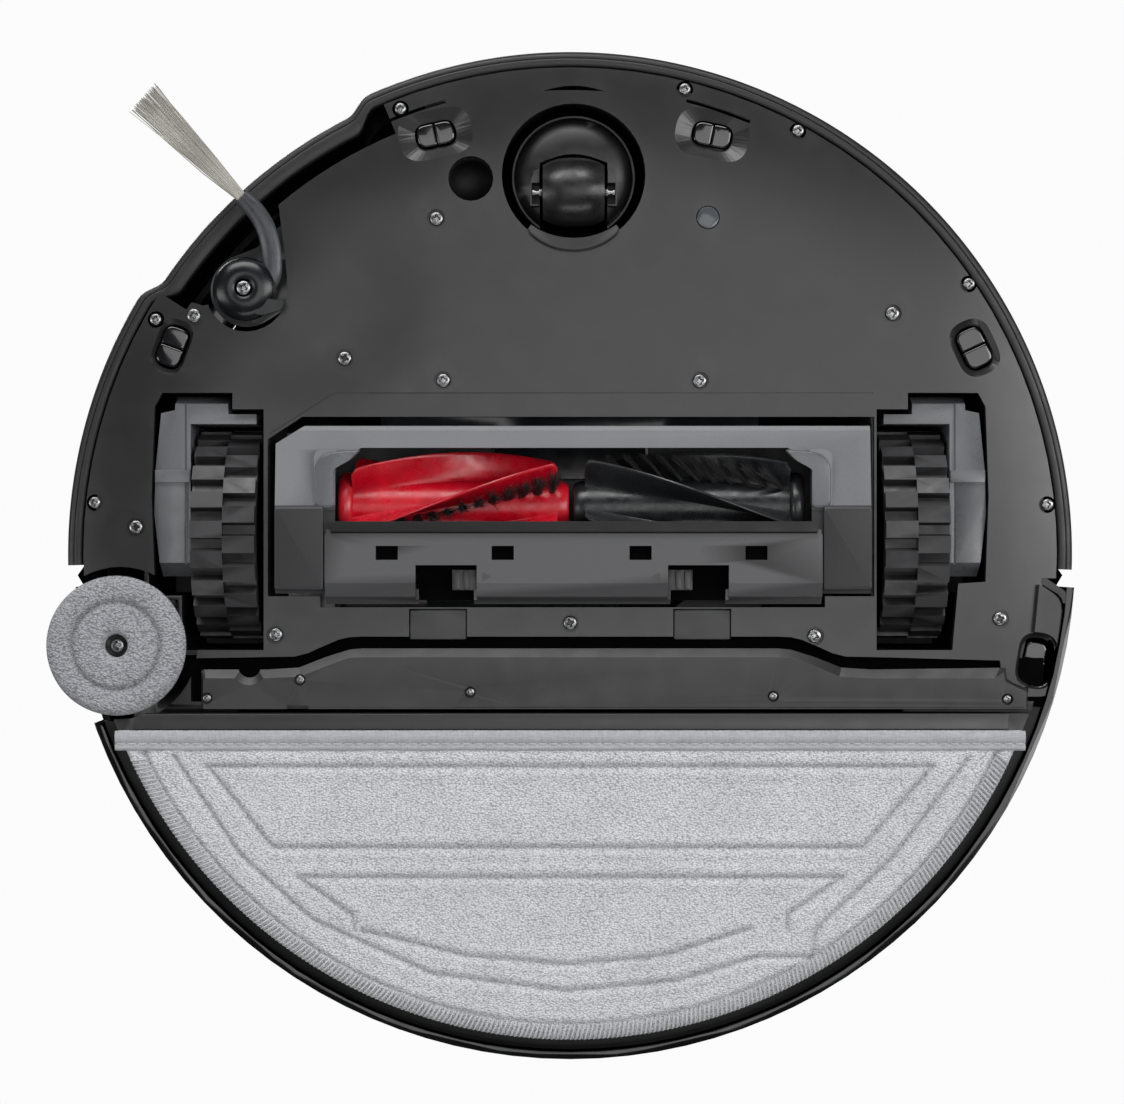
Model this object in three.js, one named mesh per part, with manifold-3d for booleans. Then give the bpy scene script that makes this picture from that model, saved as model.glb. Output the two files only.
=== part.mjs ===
import * as THREE from 'three';
import { mergeVertices } from 'three/addons/utils/BufferGeometryUtils.js';
import Module from 'manifold-3d';

// Robot vacuum with mop. Millimetres, +Z up, floor at z = 0, front towards -Y, side brush on -X.

// driving dimensions
const bodyRadius = 175;
const gap = 0.3;
const wall = 2.5;
const undersideZ = 10;
const deckTop = 80;
const deckBottom = deckTop - 2.7;
const plateTop = undersideZ + wall;
const bumperBottom = 16.2;
const bumperTop = deckBottom - 0.4;
const chassisRadius = 168.6;
const bumperTravel = 3;

const rearFloorZ = 13.6;
const mopFrontY = 54.8;
const mopLift = 6;

const wheelRadius = 36.8;
const wheelX = 119;
const wheelY = -6.8;
const wheelWidth = 22;

const casterX = 1.2;
const casterY = -131;
const casterWellRadius = 24.8;
const casterWheelRadius = 12;
const casterWheelY = -125;

const rollerY = -16.3;
const rollerZ = 21.7;
const rollerRadius = 19.5;
const rollerCore = 9.5;
const rollerLength = 80;

const socketX = -34.3;
const socketY = -129.7;

const hubX = -111.9;
const hubY = -91.2;
const hubRadius = 11;
const armPivotX = -70;
const armPivotY = -112;

const discX = -155.6;
const discY = 31.4;
const discRadius = 24;

const turretY = 35;
const turretRadius = 41;
const turretTop = 98;

const wasm = await Module();
wasm.setup();

// materials
function material(color, roughness, metalness = 0) {
  return new THREE.MeshStandardMaterial({ color, roughness, metalness });
}
const matteBlack = material(0x3c3c3d, 0.5);
const glossBlack = material(0x141416, 0.18);
const darkPlastic = material(0x2a2a2c, 0.42);
const coverGrey = material(0x6a6a6d, 0.55);
const gearGrey = material(0x7b7c7e, 0.5);
const tyreRubber = material(0x353536, 0.8);
const redRubber = material(0xd02639, 0.45);
const greyRubber = material(0x3a3b3d, 0.45);
const blackRubber = material(0x101011, 0.6);
const brushPlastic = material(0x191d20, 0.3);
const nylon = material(0xb5afa7, 0.6);
const clothGrey = material(0xb1b2b6, 0.95);
const padGrey = material(0x8f9096, 0.95);
const screwSteel = material(0xc4c4c6, 0.3, 1);
const brass = material(0xb89a5a, 0.35, 1);
const windowGloss = material(0x0c0c0e, 0.08);
const lensClear = material(0x777c82, 0.1);
const boardGreen = material(0x1f5a3c, 0.6);
const cellBlue = material(0x23324c, 0.6);
const tankSmoke = material(0x4a4f55, 0.2);
const motorSteel = material(0x9a9a9c, 0.35, 1);

// solids
function solid(geometry) {
  const bare = new THREE.BufferGeometry();
  bare.setAttribute('position', geometry.getAttribute('position').clone());
  if (geometry.index) bare.setIndex(geometry.index.clone());
  const merged = mergeVertices(bare, 1e-4);
  const vertProperties = new Float32Array(merged.getAttribute('position').array);
  const corners = Array.from(merged.index.array);
  const triVerts = [];
  for (let i = 0; i < corners.length; i += 3) {
    const [a, b, c] = corners.slice(i, i + 3);
    if (a !== b && b !== c && c !== a) triVerts.push(a, b, c);
  }
  if (signedVolume(vertProperties, triVerts) < 0) triVerts.reverse();
  return new wasm.Manifold(new wasm.Mesh({
    numProp: 3, vertProperties, triVerts: new Uint32Array(triVerts),
  }));
}

function signedVolume(positions, corners) {
  const at = (i) => new THREE.Vector3().fromArray(positions, 3 * i);
  let six = 0;
  for (let i = 0; i < corners.length; i += 3) {
    six += at(corners[i]).dot(at(corners[i + 1]).cross(at(corners[i + 2])));
  }
  return six;
}

function node(name, made, look, x = 0, y = 0, z = 0) {
  const out = made.getMesh();
  const geometry = new THREE.BufferGeometry();
  geometry.setAttribute('position', new THREE.BufferAttribute(new Float32Array(out.vertProperties), 3));
  geometry.setIndex(Array.from(out.triVerts));
  geometry.computeVertexNormals();
  const mesh = new THREE.Mesh(geometry, look);
  mesh.name = name;
  mesh.position.set(x, y, z);
  return mesh;
}

function joined(pieces) {
  return pieces.reduce((whole, piece) => whole.add(piece));
}

function block(x0, x1, y0, y1, z0, z1) {
  const box = new THREE.BoxGeometry(x1 - x0, y1 - y0, z1 - z0);
  return solid(box.translate((x0 + x1) / 2, (y0 + y1) / 2, (z0 + z1) / 2));
}

function plate(shape, z0, z1, curveSegments = 12) {
  const cut = { depth: z1 - z0, bevelEnabled: false, curveSegments };
  return solid(new THREE.ExtrudeGeometry(shape, cut).translate(0, 0, z0));
}

// a shape drawn in (Y, Z) and extruded along X
function alongX(shape, x0, x1, curveSegments = 12) {
  const cut = { depth: x1 - x0, bevelEnabled: false, curveSegments };
  const toX = new THREE.Matrix4().makeBasis(
    new THREE.Vector3(0, 1, 0), new THREE.Vector3(0, 0, 1), new THREE.Vector3(1, 0, 0));
  return solid(new THREE.ExtrudeGeometry(shape, cut).applyMatrix4(toX).translate(x0, 0, 0));
}

function drum(radius, z0, z1, x = 0, y = 0, sides = 24) {
  const geometry = new THREE.CylinderGeometry(radius, radius, z1 - z0, sides);
  return solid(geometry.rotateX(Math.PI / 2).translate(x, y, (z0 + z1) / 2));
}

function rod(radius, x0, x1, y = 0, z = 0, sides = 16) {
  const geometry = new THREE.CylinderGeometry(radius, radius, x1 - x0, sides);
  return solid(geometry.rotateZ(Math.PI / 2).translate((x0 + x1) / 2, y, z));
}

// a profile of [radius, height] turned about +Z, or about +X
function turned(profile, sides = 32) {
  const points = profile.map(([r, h]) => new THREE.Vector2(r, h));
  return new THREE.LatheGeometry(points, sides).rotateX(Math.PI / 2);
}
const turnedZ = (profile, sides) => solid(turned(profile, sides));
const turnedX = (profile, sides) => solid(turned(profile, sides).rotateY(Math.PI / 2));

function tube(points, radius, steps, sides = 10) {
  const section = new THREE.Shape().absarc(0, 0, radius, 0, 2 * Math.PI);
  const path = new THREE.CatmullRomCurve3(points.map((p) => new THREE.Vector3(...p)));
  const cut = { steps, bevelEnabled: false, curveSegments: sides / 2, extrudePath: path };
  return solid(new THREE.ExtrudeGeometry(section, cut));
}

// shapes
function outline(points) {
  return new THREE.Shape(points.map(([x, y]) => new THREE.Vector2(x, y)));
}

function circle(radius, x = 0, y = 0) {
  return new THREE.Shape().absarc(x, y, radius, 0, 2 * Math.PI);
}

function ring(inner, outer, x = 0, y = 0) {
  const shape = circle(outer, x, y);
  shape.holes.push(new THREE.Path().absarc(x, y, inner, 0, 2 * Math.PI));
  return shape;
}

const radians = (degrees) => degrees * Math.PI / 180;

function sector(inner, outer, from, to) {
  const shape = new THREE.Shape();
  shape.absarc(0, 0, outer, radians(from), radians(to), false);
  shape.absarc(0, 0, inner, radians(to), radians(from), true);
  return shape;
}

// the part of a disc behind y = front, or ahead of it
function behind(radius, front) {
  const edge = Math.asin(front / radius);
  return new THREE.Shape().absarc(0, 0, radius, edge, Math.PI - edge, false);
}
function ahead(radius, rear) {
  const edge = Math.asin(rear / radius);
  return new THREE.Shape().absarc(0, 0, radius, Math.PI - edge, 2 * Math.PI + edge, false);
}

function roundedRect(width, depth, r) {
  const [w, d] = [width / 2, depth / 2];
  const shape = new THREE.Shape();
  shape.absarc(w - r, d - r, r, 0, Math.PI / 2);
  shape.absarc(-w + r, d - r, r, Math.PI / 2, Math.PI);
  shape.absarc(-w + r, -d + r, r, Math.PI, 1.5 * Math.PI);
  shape.absarc(w - r, -d + r, r, 1.5 * Math.PI, 2 * Math.PI);
  return shape;
}

function pill(width, depth, z0, z1, turn, x, y, curveSegments = 2) {
  const shape = roundedRect(width, depth, Math.min(width, depth) * 0.45);
  const cut = { depth: z1 - z0, bevelEnabled: false, curveSegments };
  const geometry = new THREE.ExtrudeGeometry(shape, cut);
  return solid(geometry.rotateZ(radians(turn)).translate(x, y, z0));
}

// cliff sensors: [name, x, y, width, depth, turn, pocket width, pocket depth, pocket offset towards centre]
const cliffSensors = [
  ['cliff_window_front_left', -46.6, -145.3, 13, 7.6, -12, 25, 16, 2],
  ['cliff_window_front_right', 49.2, -145, 13, 7.6, 12, 25, 16, 2],
  ['cliff_window_left', -137.8, -71.8, 8.4, 14, 20, 11.5, 17, 0.4],
  ['cliff_window_right', 140, -71.4, 9, 14, -25, 13, 18, 0.6],
  ['cliff_window_rear', 160, 36.6, 7.4, 13, 8, 11, 16.5, 0.4],
];

// chassis screws, as far as the node count goes
const screws = [
  [-46.2, -115.9], [-43.8, -60], [44.8, -59.8], [111.4, -83.1], [-101.7, 27.9], [84.5, 28.3],
];

function wheelOpening(side) {
  return outline([
    [side * 141, -55.7], [side * 116.6, -55.7], [side * 116.6, -50], [side * 105.8, -50],
    [side * 105.8, 33.2], [side * 132, 33.2], [side * 134, 10.2], [side * 143.5, 9.6],
    [side * 144.6, -20], [side * 143.6, -51],
  ]);
}

const coverOutline = [
  [-101.4, -38], [-91.6, -44.2], [103.4, -44.2], [103.4, 13.6], [86.4, 13.6], [86.4, 17.2],
  [-84, 17.2], [-84, 13.6], [-101.4, 13.6],
];

function bayOpening() {
  return outline([
    [-104.4, -39.6], [-92.5, -47.4], [105, -47.4], [105, 14.6], [88, 14.6], [88, 18.4],
    [-86.4, 18.4], [-86.4, 14.6], [-104.4, 14.6],
  ]);
}

function brushPocket() {
  const wing = outline([
    [-101, -122], [-97.8, -96], [-98.6, -86], [-112, -88], [-127, -86], [-138, -89.2],
    [-152, -97], [-113, -136],
  ]);
  const round = drum(hubRadius + 3.3, 0, 60, hubX, hubY, 28);
  const crescent = plate(sector(157.4, 172, 212.5, 247.5), 0, 60, 8);
  return plate(wing, 0, 60).add(round).add(crescent);
}

function frontWall() {
  const ringWall = plate(sector(162.5, 165, 176, 364), plateTop - 1, bumperTop, 24);
  const armWindow = plate(sector(150, 180, 203, 252), 0, 34, 4);
  return ringWall.subtract(armWindow);
}

function baseChassis() {
  const slope = [[0, undersideZ], [163, undersideZ], [chassisRadius, plateTop - 0.6],
    [chassisRadius, plateTop], [0, plateTop]];
  const lower = turnedZ(slope, 96).intersect(block(-200, 200, -200, mopFrontY - 0.3, 0, 40));
  const step = block(-150, 150, mopFrontY - wall, mopFrontY - 0.3, undersideZ, rearFloorZ + wall);
  const rear = plate(behind(171.6, mopFrontY - wall), rearFloorZ, rearFloorZ + wall, 24);
  const socket = drum(8.6, plateTop - 1, 26, socketX, socketY, 20);
  let made = joined([lower, step, rear, frontWall(), socket]);
  for (const side of [-1, 1]) {
    made = made.subtract(plate(wheelOpening(side), 0, 30));
    made = made.subtract(drum(5.8, 0, 30, side * 92, 88, 16));
  }
  made = made.subtract(plate(bayOpening(), 0, 30)).subtract(brushPocket());
  made = made.subtract(drum(casterWellRadius, 0, 30, casterX, casterY, 48));
  made = made.subtract(drum(discRadius + 3, 0, 30, discX, discY, 48));
  made = made.subtract(block(163.5, 180, 8.4, 18.5, 0, 30));
  made = made.subtract(block(-141, -131, 9, 20, 0, 30));
  for (const [, x, y, width, depth, turn] of cliffSensors) {
    made = made.subtract(pill(width + 0.8, depth + 0.8, 0, 30, turn, x, y));
  }
  made = made.subtract(sensorPockets());
  made = made.subtract(drum(7.8, 0, 24.5, socketX, socketY, 20));
  made = made.subtract(drum(4.1, 0, 30, 47.6, -116.2, 20));
  for (const [x, y] of screws) {
    made = made.subtract(drum(1.6, 0, 30, x, y, 8)).subtract(drum(3.2, 0, 11.6, x, y, 14));
  }
  return made.subtract(seamGroove()).subtract(latchNotches());
}

function sensorPockets() {
  return joined(cliffSensors.map(([, x, y, , , turn, width, depth, inward]) => {
    const pull = 1 - inward / Math.hypot(x, y);
    return pill(width, depth, 0, undersideZ + 1, turn, x * pull, y * pull, 3);
  }));
}

function seamGroove() {
  const depth = undersideZ + 0.6;
  const lower = outline([[-104, -42], [-81.4, -55.9], [104.6, -55.9], [104.6, -55.2],
    [-81.2, -55.2], [-103.4, -41.4]]);
  return plate(lower, 0, depth);
}

function latchNotches() {
  const one = block(-55.6, -35.4, 18, 18.8, 0, undersideZ + 1);
  const two = block(35.4, 55.6, 18, 18.8, 0, undersideZ + 1);
  return one.add(two);
}

function wheelWell(side) {
  const skin = 1.6;
  const shape = (grow) => {
    const shape = outline([
      [-147.4 - grow, -60 - grow], [-104.2 + grow, -60 - grow], [-104.2 + grow, 35 + grow],
      [-136 - grow, 35 + grow], [-136 - grow, 16 + grow], [-147.4 - grow, 16 + grow],
    ]);
    return shape;
  };
  const roof = bumperTop - 0.4;
  const made = plate(shape(0), plateTop + gap, roof).subtract(plate(shape(-skin), 0, roof - skin));
  return side < 0 ? made : made.scale([-1, 1, 1]);
}

function casterWell() {
  const cup = drum(26.4, plateTop + gap, 40, 0, 0, 32).subtract(drum(25.2, 0, 38, 0, 0, 32));
  return cup.subtract(drum(4.3, 30, 50, 0, 0, 12));
}

function brushBay() {
  const shell = block(-98, 98.4, -42, 9.4, plateTop + gap, 45);
  const cavity = block(-95.6, 96, -39.4, 7, 0, 43);
  const outlet = block(-28, 28, -38, -26.4, 40, 50);
  return shell.subtract(cavity).subtract(outlet);
}

function topShell() {
  const deck = plate(circle(173.8), deckBottom, deckTop, 54);
  const side = plate(sector(172.3, 174.8, 3.8, 176.2), rearFloorZ - 1.6, deckBottom + 1, 26);
  const lid = plate(ahead(150.7, -17.2), 70, 90, 20);
  const mopSpace = block(-190, -120, 5, mopFrontY + 3.6, 0, 30);
  let made = deck.add(side).subtract(lid).subtract(mopSpace);
  for (const x of [-12, 12]) made = made.subtract(drum(6.8, 70, 90, x, 96, 24));
  for (let i = 0; i < 8; i += 1) {
    const slot = block(-1.4, 1.4, 165, 185, 40, 58).rotate([0, 0, -28 - 4 * i]);
    made = made.subtract(slot);
  }
  for (const x of [-22, 22]) made = made.subtract(block(x - 6.3, x + 6.3, 165, 180, 26, 36));
  return made;
}

function bumper() {
  const full = sector(163, bodyRadius, 178.6, 361.9);
  const blank = plate(full, bumperBottom, bumperTop, 27);
  const skinInner = plate(circle(172.7), bumperBottom + wall, 90, 48);
  const lipInner = plate(circle(169.4), 0, 90, 48);
  const recess = plate(sector(170.7, 190, 212.4, 244.6), 0, 90, 7);
  const recessInner = plate(sector(150, 168.4, 206, 251), bumperBottom + wall, 90, 8);
  const recessLip = plate(sector(150, 169.4, 212.4, 244.6), bumperBottom - 1, bumperBottom + wall, 7);
  const hollow = skinInner.subtract(plate(sector(168.4, 190, 211, 246), 0, 100, 6)).add(recessInner);
  return blank.subtract(hollow).subtract(lipInner.subtract(recessLip)).subtract(recess);
}

function topLid() {
  const made = plate(ahead(150.1, -18), deckBottom + 0.3, deckTop, 20);
  const grip = plate(roundedRect(40, 9, 4), deckTop - 1.1, 90, 5).translate([0, -138, 0]);
  return made.subtract(grip);
}

function turretHousing() {
  const made = turnedZ([[0, 0], [turretRadius, 0], [turretRadius, 15.4], [38.8, 17.7], [0, 17.7]], 40);
  let hollow = plate(circle(33), 2.2, 14.6, 16);
  const windows = [-60, 60, 180];
  for (const turn of windows) {
    const view = plate(sector(20, 60, turn - 50, turn + 50), 4.4, 13, 6);
    hollow = hollow.add(view);
  }
  return made.subtract(hollow);
}

function lidarRotor() {
  const made = turnedZ([[0, 0], [30, 0], [30, 3], [26, 4], [26, 10.6], [0, 10.6]], 28);
  return made.subtract(block(-9, -3, -40, -20, 4.4, 9)).subtract(block(3, 9, -40, -20, 4.4, 9));
}

function dustBin() {
  const shell = block(-68, 68, -102, -23, 46, 74.4);
  const inside = block(-66, 66, -100, -25, 48, 72.4);
  const inlet = block(-27, 27, -37.6, -27, 40, 50);
  return shell.subtract(inside).subtract(inlet);
}

function waterTank() {
  const made = plate(behind(160, 62), 52, 74, 16);
  const handle = block(-24, 24, 138, 152, 68, 80);
  return made.subtract(handle);
}

function batteryPack() {
  return plate(roundedRect(130, 46, 6), 20, 47, 4).translate([0, 88, 0]);
}

function mainBoard() {
  const board = block(-52, 18, 13, 50, 62, 63.6);
  const chip = block(-40, -24, 20, 36, 63, 66);
  const socket = block(2, 14, 18, 44, 63, 69);
  return joined([board, chip, socket]);
}

function fanBlower() {
  const scroll = drum(21, 20, 50, 52, 33, 32);
  const motor = drum(13, 49, 58, 52, 33, 24);
  const outlet = block(52, 84, 34, 54, 22, 44);
  return joined([scroll, motor, outlet]);
}

function brushMotor() {
  const can = rod(11, -84, -44, 30, 31, 20);
  const gears = block(-97, -82, 13, 42, 18, 44);
  return can.add(gears);
}

// a helical finned roller along +X from its driven end, fins turning by `twist` degrees per mm
function finnedRoller(length, twist, phase) {
  const fins = 5;
  const shape = new THREE.Shape();
  for (let i = 0; i < fins; i += 1) {
    const middle = phase + i * 2 * Math.PI / fins;
    const foot = 0.17;
    const tip = 0.035;
    shape.lineTo(...polar(rollerCore, middle - foot));
    shape.lineTo(...polar(rollerRadius, middle - tip));
    shape.lineTo(...polar(rollerRadius, middle + tip));
    shape.lineTo(...polar(rollerCore, middle + foot));
    shape.lineTo(...polar(rollerCore, middle + foot + 0.3));
    shape.lineTo(...polar(rollerCore, middle + 2 * Math.PI / fins - foot - 0.3));
  }
  shape.curves.shift();
  const steps = 10;
  const finLength = length - 9;
  const cut = { depth: finLength, steps, bevelEnabled: false };
  const geometry = new THREE.ExtrudeGeometry(shape, cut);
  const place = geometry.getAttribute('position');
  for (let i = 0; i < place.count; i += 1) {
    const [r, a] = [Math.hypot(place.getX(i), place.getY(i)), Math.atan2(place.getY(i), place.getX(i))];
    const turn = a + radians(twist) * place.getZ(i);
    place.setXYZ(i, place.getZ(i) + 5, r * Math.cos(turn), r * Math.sin(turn));
  }
  const flange = turnedX([[0, 0], [11, 0], [12, 1.4], [12, 3.6], [11, 5.2], [0, 5.2]], 20);
  const cone = turnedX([[0, length - 5], [rollerCore, length - 5], [8, length], [0, length]], 20);
  return joined([solid(geometry), flange, cone]);
}

function polar(radius, angle) {
  return [radius * Math.cos(angle), radius * Math.sin(angle)];
}

function brushCover() {
  const skin = outline([[-44.2, 9.6], [-42.6, 8.4], [-17, 5], [11, 4.4], [13.6, 7], [13.6, 9.4],
    [11.4, 9.4], [10.4, 6.6], [-17, 7.2], [-42, 10.6], [-44.2, 11.4]]);
  const plan = plate(outline(coverOutline), 0, 30);
  const flap = outline([[-6.8, 2.4], [10, 2.4], [14.6, 3.6], [17.2, 7.4], [17.2, 9.4], [15.2, 9.4],
    [13.4, 5.6], [9.8, 4.5], [-6.8, 4.2]]);
  const lipSeat = outline([[-8.4, 2.4], [-6.4, 2.4], [-6.4, 4.3], [-8.4, 3.5]]);
  const body = alongX(skin, -120, 120).intersect(plan);
  const window = outline([[-80.8, -30.4], [-72, -36.6], [75, -36.6], [83, -30.4], [83, 20], [-80.8, 20]]);
  const made = body.subtract(plate(window, 0, 30));
  const bridge = alongX(flap, -84, 86.4).add(alongX(lipSeat, -83.6, 86));
  const boss = (x0, x1) => plate(roundedRect(x1 - x0, 21, 3), 4.6, 7.4, 4)
    .translate([(x0 + x1) / 2, -25.6, 0]).subtract(plate(window, 0, 30));
  let whole = joined([made, bridge, boss(-88, -79), boss(81, 90)]);
  for (const x of [-62.8, -23.1, 24.1, 63.8]) {
    whole = whole.subtract(block(x - 3.8, x + 3.8, -2.8, 2, 0, 12));
  }
  for (const side of [-1, 1]) {
    const [x0, x1] = side < 0 ? [-53, -32] : [33.5, 54.4];
    whole = whole.subtract(block(x0, x1, 3.8, 20, 0, 5.2));
    whole = whole.subtract(block(x0 + 1, x1 - 1, 5, 20, 0, 30));
  }
  return whole;
}

function coverLip() {
  return alongX(outline([[-11.2, 0.8], [-7.6, 1], [-7, 2.1], [-8.7, 2.1], [-8.7, 3.1], [-11.2, 2.3]]), -82, 84.6);
}

function coverLatch(side) {
  const made = joined([
    block(-9.5, -0.6, 5.4, 12.4, 5.9, 8.4), block(-8.6, -6.8, 5.8, 12, 4.8, 6), block(-5.6, -3.8, 5.8, 12, 4.8, 6),
  ]);
  return side < 0 ? made : made.scale([-1, 1, 1]);
}

function wheelGearbox(side) {
  const plan = outline([
    [-141.6, -48.8], [-136.8, -49.8], [-136.6, -54.8], [-118.4, -54.8], [-118.4, -48.4],
    [-108.6, -48.4], [-108.6, -45], [-131.4, -45], [-131.4, 7.8], [-141.6, 7.8], [-144, -14],
    [-143.6, -29],
  ]);
  const sideView = outline([
    [-54.8, 20], [-52, 12.8], [3, 12.8], [8, 18], [8, 50], [0, 60], [-40, 60], [-54.8, 48],
  ]);
  let made = plate(plan, 0, 80).intersect(alongX(sideView, -150, -100));
  made = made.add(block(-143.6, -131.6, -29, -24.8, 11.8, 14));
  made = made.subtract(block(-133.4, -132.8, -60, 10, 12, 13.4));
  made = made.subtract(rod(5.3, -138, -120, wheelY, wheelRadius, 20));
  return side < 0 ? made : made.scale([-1, 1, 1]);
}

function lugRow(x0, x1, phase) {
  const lugs = 22;
  const [root, tip] = [33.6, wheelRadius];
  const pitch = 2 * Math.PI / lugs;
  const shape = new THREE.Shape();
  for (let i = 0; i < lugs; i += 1) {
    const a = (i + phase) * pitch;
    shape.lineTo(...polar(root, a));
    shape.lineTo(...polar(tip, a + 0.06 * pitch));
    shape.lineTo(...polar(tip, a + 0.62 * pitch));
    shape.lineTo(...polar(root, a + 0.68 * pitch));
  }
  shape.curves.shift();
  shape.holes.push(new THREE.Path().absarc(0, 0, 29.1, 0, 2 * Math.PI));
  return alongX(shape, x0, x1, 14);
}

function tyre() {
  const half = wheelWidth / 2;
  return lugRow(-half, 0, 0).add(lugRow(-0.01, half, 0.5));
}

function wheelHub(side) {
  const profile = [[0, -16], [4.9, -16], [4.9, -9], [8, -8], [8, -3], [23, -3], [24.6, -10],
    [28.8, -10], [28.8, 10], [24.6, 10], [23, 3], [8, 3], [8, 6], [0, 6]];
  const made = turnedX(profile, 24);
  return side < 0 ? made : made.scale([-1, 1, 1]);
}

function casterPod() {
  const dome = turnedZ([[0, 17.5], [12, 16.6], [20, 14.2], [22.4, 14.6], [22.4, 27], [14, 33],
    [3.9, 33.4], [3.9, 39.6], [0, 39.6]], 32);
  const cheeks = block(-17, -11.4, -1, 13, 7.4, 18).add(block(11.4, 17, -1, 13, 7.4, 18));
  const room = rod(13.6, -11.4, 11.4, casterWheelY - casterY, casterWheelRadius, 28);
  const pinHole = rod(1.8, -16, 16, casterWheelY - casterY, casterWheelRadius, 12);
  return dome.add(cheeks).subtract(room).subtract(pinHole);
}

function casterWheel() {
  const profile = [[1.8, -10.8], [9.6, -10.8], [10.8, -9.6], [11.7, -5], [casterWheelRadius, 0],
    [11.7, 5], [10.8, 9.6], [9.6, 10.8], [1.8, 10.8], [1.8, -10.8]];
  return turnedX(profile, 28);
}

function sideBrushArm() {
  const shape = new THREE.Shape();
  const [dx, dy] = [hubX - armPivotX, hubY - armPivotY];
  const lean = Math.atan2(dy, dx);
  shape.absarc(0, 0, 9, lean - Math.PI / 2 - Math.PI, lean - Math.PI / 2, false);
  shape.absarc(dx, dy, 12.6, lean - Math.PI / 2, lean + Math.PI / 2, false);
  const lever = plate(shape, plateTop + gap, 15.7, 8);
  const wing = plate(outline([[-44, 11], [-30, -2], [-20, 2], [-28, 16]]), plateTop + gap, 15.7);
  const boss = drum(8.6, plateTop + gap, 25, 0, 0, 20);
  const bore = drum(3.2, 0, 30, dx, dy, 20);
  return joined([lever, wing, boss]).subtract(bore).subtract(drum(3.3, 0, 50, 0, 0, 16));
}

function sideBrushMotor() {
  return joined([drum(12, 26, 44, 0, 0, 28), drum(2.9, 16, 27, 0, 0, 16)]);
}

function sideBrushHub() {
  const dome = turnedZ([[0, 5], [2.8, 5], [3, 4.4], [7, 4.6], [9.8, 6], [hubRadius, 8], [hubRadius, 9.6],
    [2.9, 9.6], [2.9, 15.2], [0, 15.2]], 26);
  const sleeve = tube([[5, 1, 6.6], [9.2, -7, 6.2], [8.6, -17, 5.8], [5, -26, 5.5], [-1.6, -31.6, 5.3]],
    3.3, 11, 8);
  const stub = plate(outline([[8, -3], [12.8, 1], [13, 5], [9, 9.8], [4, 9]]), 5, 9);
  return joined([dome, sleeve, stub]).subtract(drum(1.5, 0, 12, 0, 0, 12))
    .subtract(drum(2.9, 0, 5.9, 0, 0, 16));
}

// the tuft runs from the sleeve's mouth to a wide flat tip just above the floor
function sideBrushBristles() {
  const root = new THREE.Vector3(-3.6, -33.4, 5.2);
  const tip = new THREE.Vector3(-34, -64.4, 0.75);
  const along = tip.clone().sub(root);
  const across = new THREE.Vector3(-along.y, along.x, 0).normalize();
  const up = new THREE.Vector3().crossVectors(along, across).normalize().negate();
  const rows = [[0, 2.2, 1.6], [0.35, 3, 1.2], [0.7, 4.4, 0.7], [1, 5.8, 0.32]];
  const corners = [];
  for (const [t, w, h] of rows) {
    for (const [a, b] of [[-1, -1], [1, -1], [1, 1], [-1, 1]]) {
      const at = root.clone().addScaledVector(along, t);
      corners.push(at.addScaledVector(across, a * w).addScaledVector(up, b * h));
    }
  }
  return solid(ribbon(corners, rows.length));
}

// a closed skin through successive four-cornered sections
function ribbon(corners, count) {
  const index = [0, 2, 1, 0, 3, 2];
  const last = 4 * (count - 1);
  index.push(last, last + 1, last + 2, last, last + 2, last + 3);
  for (let s = 0; s < count - 1; s += 1) {
    for (let k = 0; k < 4; k += 1) {
      const [a, b] = [4 * s + k, 4 * s + (k + 1) % 4];
      index.push(a, b, b + 4, a, b + 4, a + 4);
    }
  }
  const geometry = new THREE.BufferGeometry().setFromPoints(corners);
  return geometry.setIndex(index);
}

function screw(headRadius, headHeight, length, shank = 1.3) {
  return turnedZ([[0, 0], [headRadius * 0.8, 0], [headRadius, 0.5], [headRadius, headHeight],
    [shank, headHeight], [shank, length], [0, length]], 12);
}

function edgeMopHub() {
  const made = turnedZ([[0, 6.8], [17.2, 6.8], [17.2, 8.4], [8, 9.6], [3, 9.6], [3, 20], [0, 20]], 28);
  return made.subtract(drum(1.5, 0, 12, 0, 0, 12));
}

function edgeMopPad() {
  return turnedZ([[4, 0.9], [6, 0.2], [14.2, 0], [15, 0.5], [15.8, 0], [22, 0.2], [23.6, 1.6], [discRadius, 3.4],
    [23.4, 5.6], [21.6, 6.5], [4, 6.5], [4, 0.9]], 40);
}

function edgeMopMotor() {
  const made = drum(10, 13.6, 46, 0, 0, 28).add(block(2, 16, 0, 16, 26.4, 36));
  return made.subtract(drum(3.3, 0, 21, 0, 0, 16));
}

function mopDriveCover() {
  const shape = outline([
    [-128.6, 44.6], [-126, 42.6], [-98, 42.6], [-80, 36], [76, 36], [98, 42.6], [148, 42.6],
    [150, 46], [150, 53], [-128.6, 53],
  ]);
  const notch = drum(3.8, 0, 30, -110.4, 42.4, 16);
  let made = plate(shape, 8.2, undersideZ - gap).subtract(notch);
  for (const x of [-92.8, -34.4, 70, 124.6]) made = made.subtract(drum(1.9, 0, 9, x, 47.6, 12));
  return made;
}

function mopPlate() {
  const made = plate(behind(166.6, mopFrontY), 3.8, 7.2, 26);
  const rib = block(-150, 150, mopFrontY, mopFrontY + 5.2, 2.2, 5);
  const posts = [-1, 1].map((side) => drum(5, 6, 32, side * 92, 88, 16));
  return joined([made, rib, ...posts]).subtract(drum(discRadius + 1.4, 0, 10, discX, discY, 40));
}

function mopCloth() {
  return plate(behind(165, mopFrontY + 5.6), 0.1, 3.5, 26);
}

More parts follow.
